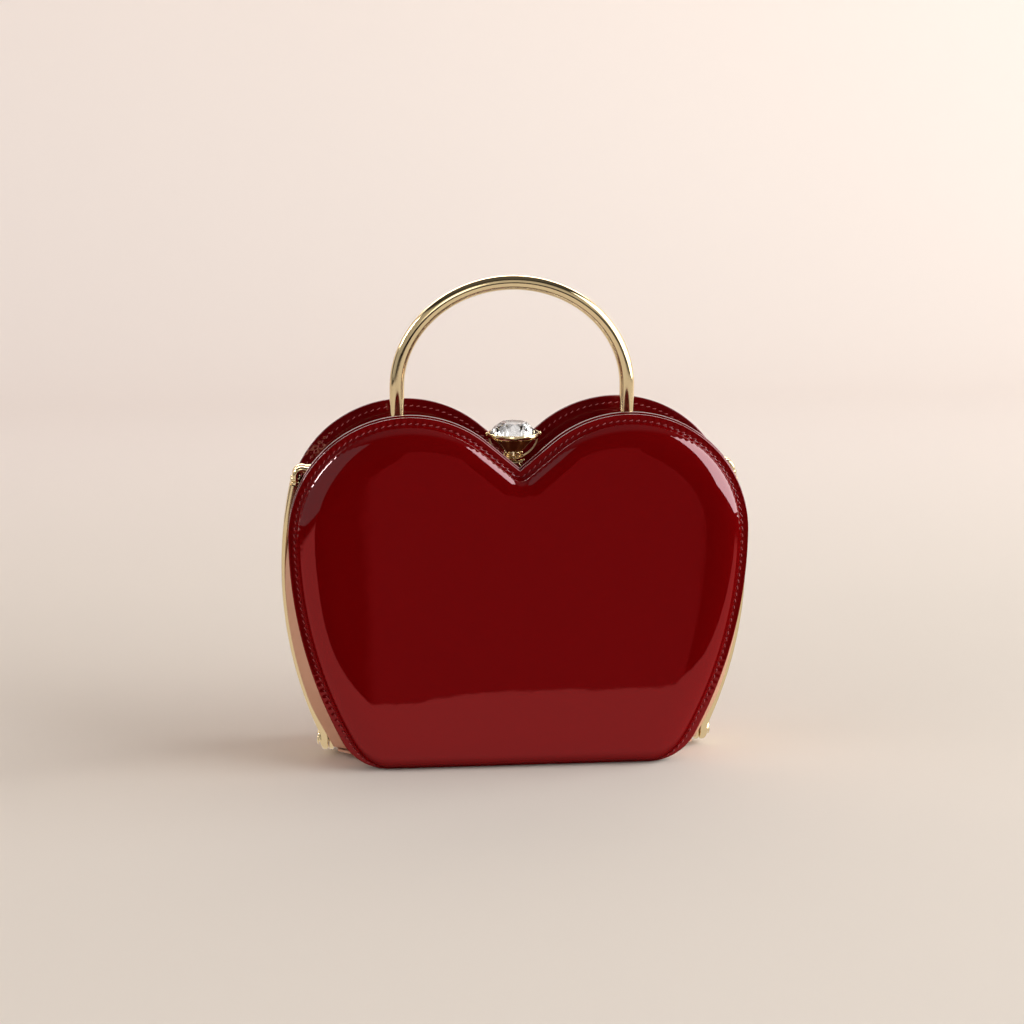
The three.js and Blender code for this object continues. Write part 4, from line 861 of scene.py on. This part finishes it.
fork_body = body_through([[[x, y, z] for x, y in fork] for z in (FORK_FOOT, FORK_TOP)])
catch = fit("fork_catch", [cradle_body, post_body, fork_body], gold, 40, "front_half", "gold", "front_catch")
ease_edges(catch, 0.22, 2, 50)

# Button. A turned stem with a waist carries a slotted gallery, a bowl with a ring of pillars, and two thin
# wires of satin gold rise from under it to the bezel.
STEM_FOOT, PISTON_TOP, WAIST_FOOT, STEM_TOP = 131.04, 133.04, 136.74, 138.74
PISTON_RADIUS, NECK_RADIUS, WAIST_RADIUS, STEM_CORE = 2.9, 2.3, 1.7, 0.4
stem_profile = eased([
    (STEM_CORE, STEM_FOOT), (PISTON_RADIUS, STEM_FOOT), (PISTON_RADIUS, PISTON_TOP), (NECK_RADIUS, PISTON_TOP),
    (NECK_RADIUS, WAIST_FOOT), (WAIST_RADIUS, WAIST_FOOT + 0.3), (WAIST_RADIUS, STEM_TOP),
    (STEM_CORE, STEM_TOP)], 0.3)
fit("push_stem", [at_button(turned(stem_profile))], gold, 50, "button", "gold", "button_stem")

GALLERY_FOOT, GALLERY_RADIUS, GALLERY_TOP, BOWL_RISE = 139.04, 4.7, 142.34, 1.3
GALLERY_PILLARS, PILLAR_INSET = 8, 0.95
bowl = [(GALLERY_RADIUS * math.sin(a), GALLERY_FOOT + BOWL_RISE * (1 - math.cos(a)))
        for a in np.radians(np.linspace(6, 90, 12))]
gallery_bodies = [turned(bowl + [(GALLERY_RADIUS - 0.5, GALLERY_FOOT + BOWL_RISE), (0.4, GALLERY_FOOT + 0.6)])]
pillar = turned([(0.85, GALLERY_FOOT + 0.7), (0.80, GALLERY_FOOT + 1.6), (0.85, GALLERY_TOP - 0.8),
                 (0.72, GALLERY_TOP - 0.3), (0.3, GALLERY_TOP)], 20)
pillar_places, _ = arc(np.zeros(2), GALLERY_RADIUS - PILLAR_INSET, 22.5, 382.5, GALLERY_PILLARS)
gallery_bodies += [moved(pillar, x, y, 0) for x, y in pillar_places]
fit("slotted_gallery", [at_button(body) for body in gallery_bodies], gold, 60, "button", "gold", "button_gallery")

satin_gold = new_material("satin_pale_gold", (0.90, 0.73, 0.46), 90, 0.1, 0.28, 0.38, Metallic=1.0)
WIRE_WIDTH, WIRE_DEPTH = 0.75, 1.0
WIRE_END, WIRE_UNDER, WIRE_FOOT, WIRE_BEND, WIRE_TOP = np.array([
    [0.0, 138.35], [2.4, 138.4], [4.6, 139.6], [10.4, 142.6], [11.3, 148.5]])
t = np.linspace(0, 1, 40)[:, None]
wire_line = np.r_[
    bezier(t, WIRE_END, WIRE_UNDER, WIRE_FOOT)[:-1], bezier(t, WIRE_FOOT, WIRE_BEND, WIRE_TOP)]
wire_body = rod(wire_line, [oval(WIRE_WIDTH, WIRE_DEPTH, 2.4, 20)] * len(wire_line), BUTTON_DEPTH)
for hand_name, hand in hands:
    fit(f"basket_rib_{hand_name}", [on_hand(wire_body, hand)], satin_gold, 60,
        "button", "gold", f"basket_wire_{hand_name}")

# Bezel. A thin turned ring, plated like the frame, holds the stone by its edge, with a small claw on the
# left and on the right.
BEZEL_FOOT, BEZEL_TOP, BEZEL_RADIUS, BEZEL_BORE = 148.35, 150.79, 12.4, 11.5
LEDGE_RADIUS, LEDGE, CLAW_HALF, CLAW_RISE, CLAW_X, CLAW_HEIGHT = 10.6, 0.5, 0.75, 0.95, 12.3, 150.0
bezel_profile = eased_ring([
    (LEDGE_RADIUS, BEZEL_FOOT), (BEZEL_RADIUS - 0.5, BEZEL_FOOT), (BEZEL_RADIUS, BEZEL_FOOT + 1.2),
    (BEZEL_RADIUS - 0.35, BEZEL_TOP), (BEZEL_BORE, BEZEL_TOP), (BEZEL_BORE, BEZEL_FOOT + LEDGE),
    (LEDGE_RADIUS, BEZEL_FOOT + LEDGE)], 0.4)
claw = turned([(max(CLAW_HALF * math.sin(a), 0.02), -CLAW_RISE * math.cos(a))
               for a in np.radians(np.linspace(0, 180, 12))], 20)
bezel_bodies = [at_button(turned(bezel_profile, 96, ring=True))]
bezel_bodies += [moved(claw, hand * CLAW_X, BUTTON_DEPTH, CLAW_HEIGHT) for _, hand in hands]
fit("stone_bezel", bezel_bodies, gold, 50, "button", "gold", "button_bezel")

# Stone. Clear glass in a round brilliant cut: an octagonal table, star, kite and girdle facets on the crown,
# and a pavilion of mains and halves that ends in a point.
GIRDLE_HEIGHT, STONE_RADIUS, TABLE_RADIUS, CROWN_RISE, PAVILION, GIRDLE = 150.19, 11.2, 6.2, 5.25, 8.4, 0.8
STAR_RADIUS, PAVILION_RADIUS, PAVILION_POINT = 8.9, 4.6, 1.0
eighth = math.pi / 4


def cut_ring(radius, height, count, turn=0.0):
    a = turn + full_turn(count)
    ring = np.c_[radius * np.cos(a), radius * np.sin(a), np.full(count, height)]
    return ring + [0, BUTTON_DEPTH, GIRDLE_HEIGHT]


star_reach = STAR_RADIUS * math.cos(eighth / 2)
star_height = CROWN_RISE + (GIRDLE / 2 - CROWN_RISE) * (star_reach - TABLE_RADIUS) / (STONE_RADIUS - TABLE_RADIUS)
stone_points = np.r_[
    cut_ring(TABLE_RADIUS, CROWN_RISE, 8), cut_ring(STAR_RADIUS, star_height, 8, eighth / 2),
    cut_ring(STONE_RADIUS, GIRDLE / 2, 16), cut_ring(STONE_RADIUS, -GIRDLE / 2, 16),
    cut_ring(PAVILION_RADIUS, PAVILION_POINT - PAVILION, 8, eighth / 2), cut_ring(0.0, -PAVILION, 1)]
stone_faces = [list(range(8))]
for k in range(8):
    n = (k + 1) % 8
    star, next_star, main, between, next_main = 8 + k, 8 + n, 16 + 2 * k, 17 + 2 * k, 16 + 2 * n
    stone_faces += [[k, star, n], [n, star, next_main, next_star]]
    stone_faces += [[star, main, between], [star, between, next_main]]
    stone_faces += [[main, main + 16, between + 16, between], [between, between + 16, next_main + 16, next_main]]
    low, next_low, tip = 48 + k, 48 + n, 56
    stone_faces += [[main + 16, low, between + 16], [between + 16, low, next_main + 16],
                    [low, next_low, next_main + 16], [low, tip, next_low]]
crystal, tree, surface = plain_material("cut_clear_glass", {"Transmission Weight": 1.0, "IOR": 1.62})
polish = add_node(tree, "TexNoise", {"Vector": object_place(tree), "Scale": 400})
haze = add_node(tree, "MapRange", {"Value": polish.outputs["Fac"], "To Min": 0.0, "To Max": 0.02})
tree.links.new(haze.outputs["Result"], surface["Roughness"])
fit("cut_stone", [(stone_points, stone_faces)], crystal, 1, "button", "crystal", "button_stone")

# Foil of the stone. A mirror foil is pressed on the pavilion and sealed with brown lacquer, so light that
# enters the crown comes back out of it.
FOIL, FOIL_GAP, FOIL_INSET, FOIL_DROP, FOIL_MIDDLE = 0.2, 0.03, 1.2, 1.35, 3.0
silver = new_material("mirror_foil", (0.93, 0.93, 0.94), 300, 0.06, 0.02, 0.06, Metallic=1.0)
lacquer = new_material("foil_lacquer_brown", (0.21, 0.045, 0.013), 260, 0.5, 0.14, 0.26, Metallic=0.4)
foil_inner, foil_outer = (
    [cut_ring(PAVILION_RADIUS * 0.2 + gap, 0.2 - PAVILION - gap, 16),
     cut_ring(PAVILION_RADIUS * 1.02 + gap, PAVILION_POINT - PAVILION - gap, 16),
     cut_ring(STONE_RADIUS - FOIL_INSET + gap, -GIRDLE / 2 - FOIL_DROP - gap / 2, 16)]
    for gap in (FOIL_GAP, FOIL_GAP + FOIL))
foil_body = body_through(foil_outer + foil_inner[::-1])
foil = fit("stone_foil", [foil_body], lacquer, 20, "button", "crystal")
foil.data.materials.append(silver)
foil_centre = np.array([0, BUTTON_DEPTH, GIRDLE_HEIGHT - FOIL_MIDDLE]) * MM
for face in foil.data.polygons:
    face.material_index = 0 if np.dot(face.normal, np.subtract(face.center, foil_centre)) > 0 else 1

# Studio. A pale sweep of paper under and behind the bag, a tall window on the right, a dim card and a narrow
# strip of light on the left. A dark card in front, seen only in the patent leather's reflections, glows in two
# fields: a painted reflection of a lit table before the bag. Four soft lamps serve the metal alone. Sizes are in
# metres.
SWEEP_FRONT, SWEEP_BACK, SWEEP_RADIUS, SWEEP_TOP, SWEEP_HALF, SWEEP_DROP = -2.6, 1.5, 0.5, 2.6, 3.0, 0.0002
PAPER_NEAR, PAPER_FAR = (0.86, 0.765, 0.69, 1), (0.80, 0.70, 0.63, 1)
PAPER_GLOW, OUTER_GLOW, DARK = (0.14, 0.125, 0.135, 1), (0.56, 0.50, 0.45, 1), (0.0, 0.0, 0.0, 1)


def stage_sheet(name, points, faces, material):
    """A sheet of the studio, which isn't part of the bag."""
    mesh = bpy.data.meshes.new(name)
    mesh.from_pydata(points, [], faces)
    mesh.materials.append(material)
    sheet = bpy.data.objects.new(name, mesh)
    bpy.context.scene.collection.objects.link(sheet)
    return sheet


def chained(operation):
    """A function that joins values or sockets of the tree in hand by math nodes, from left to right."""
    def join(first, *others):
        for other in others:
            first = add_node(tree, "Math", {0: first, 1: other}, operation=operation).outputs[0]
        return first
    return join


plus, minus, times, most = (chained(operation) for operation in ("ADD", "SUBTRACT", "MULTIPLY", "MAXIMUM"))


def ramp(value, low, high):
    """A smooth step from 0 at low to 1 at high."""
    return add_node(tree, "MapRange", {"Value": value, "From Min": low, "From Max": high},
                    interpolation_type="SMOOTHSTEP").outputs["Result"]


def mix(share, first, second):
    """A mix of two colours."""
    return add_node(tree, "Mix", {"Factor": share, "A": first, "B": second}, data_type="RGBA").outputs["Result"]


def split(vector):
    return add_node(tree, "SeparateXYZ", {0: vector}).outputs


paper, tree, surface = plain_material(
    "pale_paper", {"Roughness": 0.9, "Specular IOR Level": 0.1, "Emission Strength": 1.0})
ray = add_node(tree, "LightPath").outputs
at = split(add_node(tree, "NewGeometry").outputs["Position"])
tree.links.new(mix(ramp(at["Y"], 0.2, 1.3), PAPER_NEAR, PAPER_FAR), surface["Base Color"])
# Painted light: the paper glows for camera, glossy and transmission rays, more towards the back, and more again
# behind the lamps, where their light does not reach.
seen = most(ray["Is Camera Ray"], ray["Is Glossy Ray"], ray["Is Transmission Ray"])
lifted = mix(times(seen, ramp(at["Y"], 0.1, 0.9)), DARK, PAPER_GLOW)
behind_lamps = most(ramp(at["X"], -1.62, -1.80), ramp(at["X"], 1.95, 2.25), ramp(at["Y"], -1.6, -2.3))
tree.links.new(mix(times(behind_lamps, seen), lifted, OUTER_GLOW), surface["Emission Color"])
bend_line, _ = arc(np.array([SWEEP_BACK - SWEEP_RADIUS, SWEEP_RADIUS]), SWEEP_RADIUS, -90, 0, 23)
sweep_line = np.r_[[[SWEEP_FRONT, 0]], bend_line, [[SWEEP_BACK, SWEEP_RADIUS], [SWEEP_BACK, SWEEP_TOP]]]
count = len(sweep_line)
sweep = stage_sheet(
    "paper_sweep", [(x, y, z - SWEEP_DROP) for x in (-SWEEP_HALF, SWEEP_HALF) for y, z in sweep_line],
    [[k, k + count, k + count + 1, k + 1] for k in range(count - 1)], paper)
sweep.data.shade_smooth()

# Painted reflection: a card that only the patent leather's reflections see. Its black is a painted dark room, and
# it glows red near the bag and dimmer further out: a painted reflection of a lit table in front of the bag.
CARD_FRONT, CARD_BACK, CARD_HALF, CARD_LIP, CARD_DROP = -2.55, 0.30, 2.9, 0.345, 0.0001
FIELD_EDGE, FIELD_WAVE, FIELD_SIDE, FIELD_SLANT, FIELD_CORNER = -0.150, 0.016, -0.073, 0.49, 0.16
FIELD_SKEW, FIELD_STEP = 0.14, -0.03
NEAR_REFLECTION_GLOW, FAR_REFLECTION_GLOW = (0.82, 0.175, 0.158, 1), (0.27, 0.028, 0.028, 1)
painted_reflection_material, tree, surface = plain_material("dark_card", {
    "Base Color": (0.012, 0.005, 0.005, 1), "Roughness": 1.0, "Specular IOR Level": 0.0, "Emission Strength": 1.0})
card_place = add_node(tree, "NewGeometry").outputs["Position"]
across, ahead, _ = split(card_place)
wave = add_node(tree, "TexNoise", {"Vector": card_place, "Scale": 11}).outputs["Fac"]
edge_wave = times(minus(wave, 0.5), FIELD_WAVE)
edge_turn = plus(times(ramp(across, 0.09, 0.17), FIELD_STEP), times(across, FIELD_SKEW))
past_edge = minus(FIELD_EDGE, plus(edge_wave, edge_turn, ahead))
past_side = minus(across, times(ahead, FIELD_SLANT), FIELD_SIDE)
past_both = add_node(tree, "Math", {0: past_edge, 1: past_side, 2: FIELD_CORNER}, operation="SMOOTH_MIN").outputs[0]
past_field = ramp(past_both, 0.0, 0.007)
aside = add_node(tree, "Math", {0: across}, operation="ABSOLUTE").outputs[0]
near_reflection_glow = times(minus(1.0, past_field), ramp(ahead, -0.027, -0.040), ramp(aside, 0.60, 0.45))
far_left = ramp(plus(across, times(ahead, 0.02)), -0.0725, -0.0645)
far_right = ramp(plus(across, times(ahead, 0.175)), 0.085, 0.075)
far_reflection_glow = times(far_left, far_right, past_field)
tree.links.new(mix(far_reflection_glow, mix(near_reflection_glow, DARK, NEAR_REFLECTION_GLOW), FAR_REFLECTION_GLOW), surface["Emission Color"])
card_line = ((CARD_FRONT, CARD_LIP), (CARD_FRONT, -CARD_DROP), (CARD_BACK, -CARD_DROP))
card = stage_sheet("dark_card", [(x, y, z) for y, z in card_line for x in (-CARD_HALF, CARD_HALF)],
                   [[0, 1, 3, 2], [2, 3, 5, 4]], painted_reflection_material)
card.visible_camera = card.visible_diffuse = card.visible_transmission = card.visible_shadow = False

ROOM, MIRRORED_ROOM, MIRRORED_SKY, GLASS_ROOM, GLASS_SKY, BACKGROUND = 0.28, 0.008, 0.10, 0.55, 1.7, 0.92
world = bpy.data.worlds.new("soft_room")
bpy.context.scene.world = world
world.use_nodes = True
tree = world.node_tree
room = tree.nodes["Background"].inputs
room["Color"].default_value = (1.0, 0.95, 0.91, 1)
ray = add_node(tree, "LightPath").outputs
height = split(add_node(tree, "TexCoord").outputs["Generated"])["Z"]


def room_level(low, high, start, end):
    """What a kind of ray sees of the room beyond its plain level, brighter towards the ceiling."""
    return plus(times(ramp(height, start, end), high - low), low - ROOM)


level = plus(
    times(room_level(MIRRORED_ROOM, MIRRORED_SKY, 0.70, 0.95), ray["Is Glossy Ray"]),
    times(room_level(GLASS_ROOM, GLASS_SKY, 0.1, 0.8), ray["Is Transmission Ray"]),
    times(ray["Is Camera Ray"], BACKGROUND - ROOM), ROOM)
tree.links.new(level, room["Strength"])


def soft_lamp(name, turn, distance, foot, top, width, glow, color):
    """An upright sheet of light that faces the bag; turn is 0 in front and 90 on the right, glow its radiance."""
    data = bpy.data.lights.new(name, "AREA")
    data.shape = "RECTANGLE"
    data.size, data.size_y = width, top - foot
    data.energy = glow * math.pi * width * (top - foot)
    data.color = color
    lamp = bpy.data.objects.new(name, data)
    bpy.context.scene.collection.objects.link(lamp)
    a = math.radians(turn)
    lamp.location = (distance * math.sin(a), -distance * math.cos(a), (foot + top) / 2)
    lamp.rotation_euler = (math.pi / 2, 0, a)
    return lamp


window = soft_lamp("right_window", 78, 2.2, 0.0, 2.5, 2.7, 4.4, (0.95, 1.0, 1.0))
window.rotation_euler[1] = math.radians(14)
left_card = soft_lamp("left_card", -63, 1.6, 0.0, 1.9, 2.4, 0.25, (0.5, 1.0, 0.97))
left_fill = soft_lamp("left_fill", -75, 1.8, 0.0, 1.8, 1.8, 1.4, (1.0, 0.97, 0.94))
left_fill.visible_glossy = False
left_strip = soft_lamp("left_strip", -101, 1.5, 0.65, 1.35, 0.19, 26.0, (1.0, 0.98, 0.96))
back_light = soft_lamp("back_light", 180, 1.25, 0.95, 1.55, 2.2, 5.5, (1.0, 0.98, 0.96))
back_light.rotation_euler = (math.radians(45), 0, math.pi)
for gloss_lamp in (left_card, left_strip, back_light):
    gloss_lamp.visible_diffuse = False
metal_table = soft_lamp("metal_table", 0, 0.6, 0.0, 1.75, 3.0, 0.75, (1.0, 0.93, 0.87))
metal_table.location = (0.0, -0.60, -0.00005)
metal_table.rotation_euler = (math.pi, 0, 0)
metal_room = soft_lamp("metal_room", 0, 2.2, 0.5, 2.2, 4.0, 0.55, (1.0, 0.95, 0.90))
metal_left = soft_lamp("metal_left", -70, 1.6, 0.1, 1.7, 1.6, 0.45, (1.0, 0.97, 0.93))
metal_key = soft_lamp("metal_key", -12, 1.6, 0.55, 1.1, 0.5, 2.5, (1.0, 0.97, 0.93))
mirrors, metals = bpy.data.collections.new("patent_pieces"), bpy.data.collections.new("metal_pieces")
for piece in bpy.data.objects:
    if piece.type == "MESH" and piece.data.materials:
        if piece.data.materials[0] in (patent_red, patent_red_painted_shade, thread_red):
            mirrors.objects.link(piece)
        elif piece.data.materials[0] in (gold, satin_gold):
            metals.objects.link(piece)
card.light_linking.receiver_collection = left_card.light_linking.receiver_collection = mirrors
for metal_lamp in (metal_table, metal_room, metal_left, metal_key):
    metal_lamp.visible_camera = False
    metal_lamp.light_linking.receiver_collection = metals

# Camera. It stands where the picture was taken from, a little above the bag and to its left, and looks
# down on it through a long lens.
CAMERA_PLACE, CAMERA_TURN, CAMERA_PITCH, LENS, SENSOR = (-0.1007, -1.0733, 0.3456), 5.295, 12.121, 83.4, 36.0
camera_data = bpy.data.cameras.new("camera")
camera_data.lens, camera_data.sensor_width = LENS, SENSOR
camera = bpy.data.objects.new("camera", camera_data)
bpy.context.scene.collection.objects.link(camera)
camera.location = CAMERA_PLACE
camera.rotation_euler = (math.radians(90 - CAMERA_PITCH), 0, -math.radians(CAMERA_TURN))
bpy.context.scene.camera = camera
bpy.context.scene.view_settings.view_transform = "Standard"
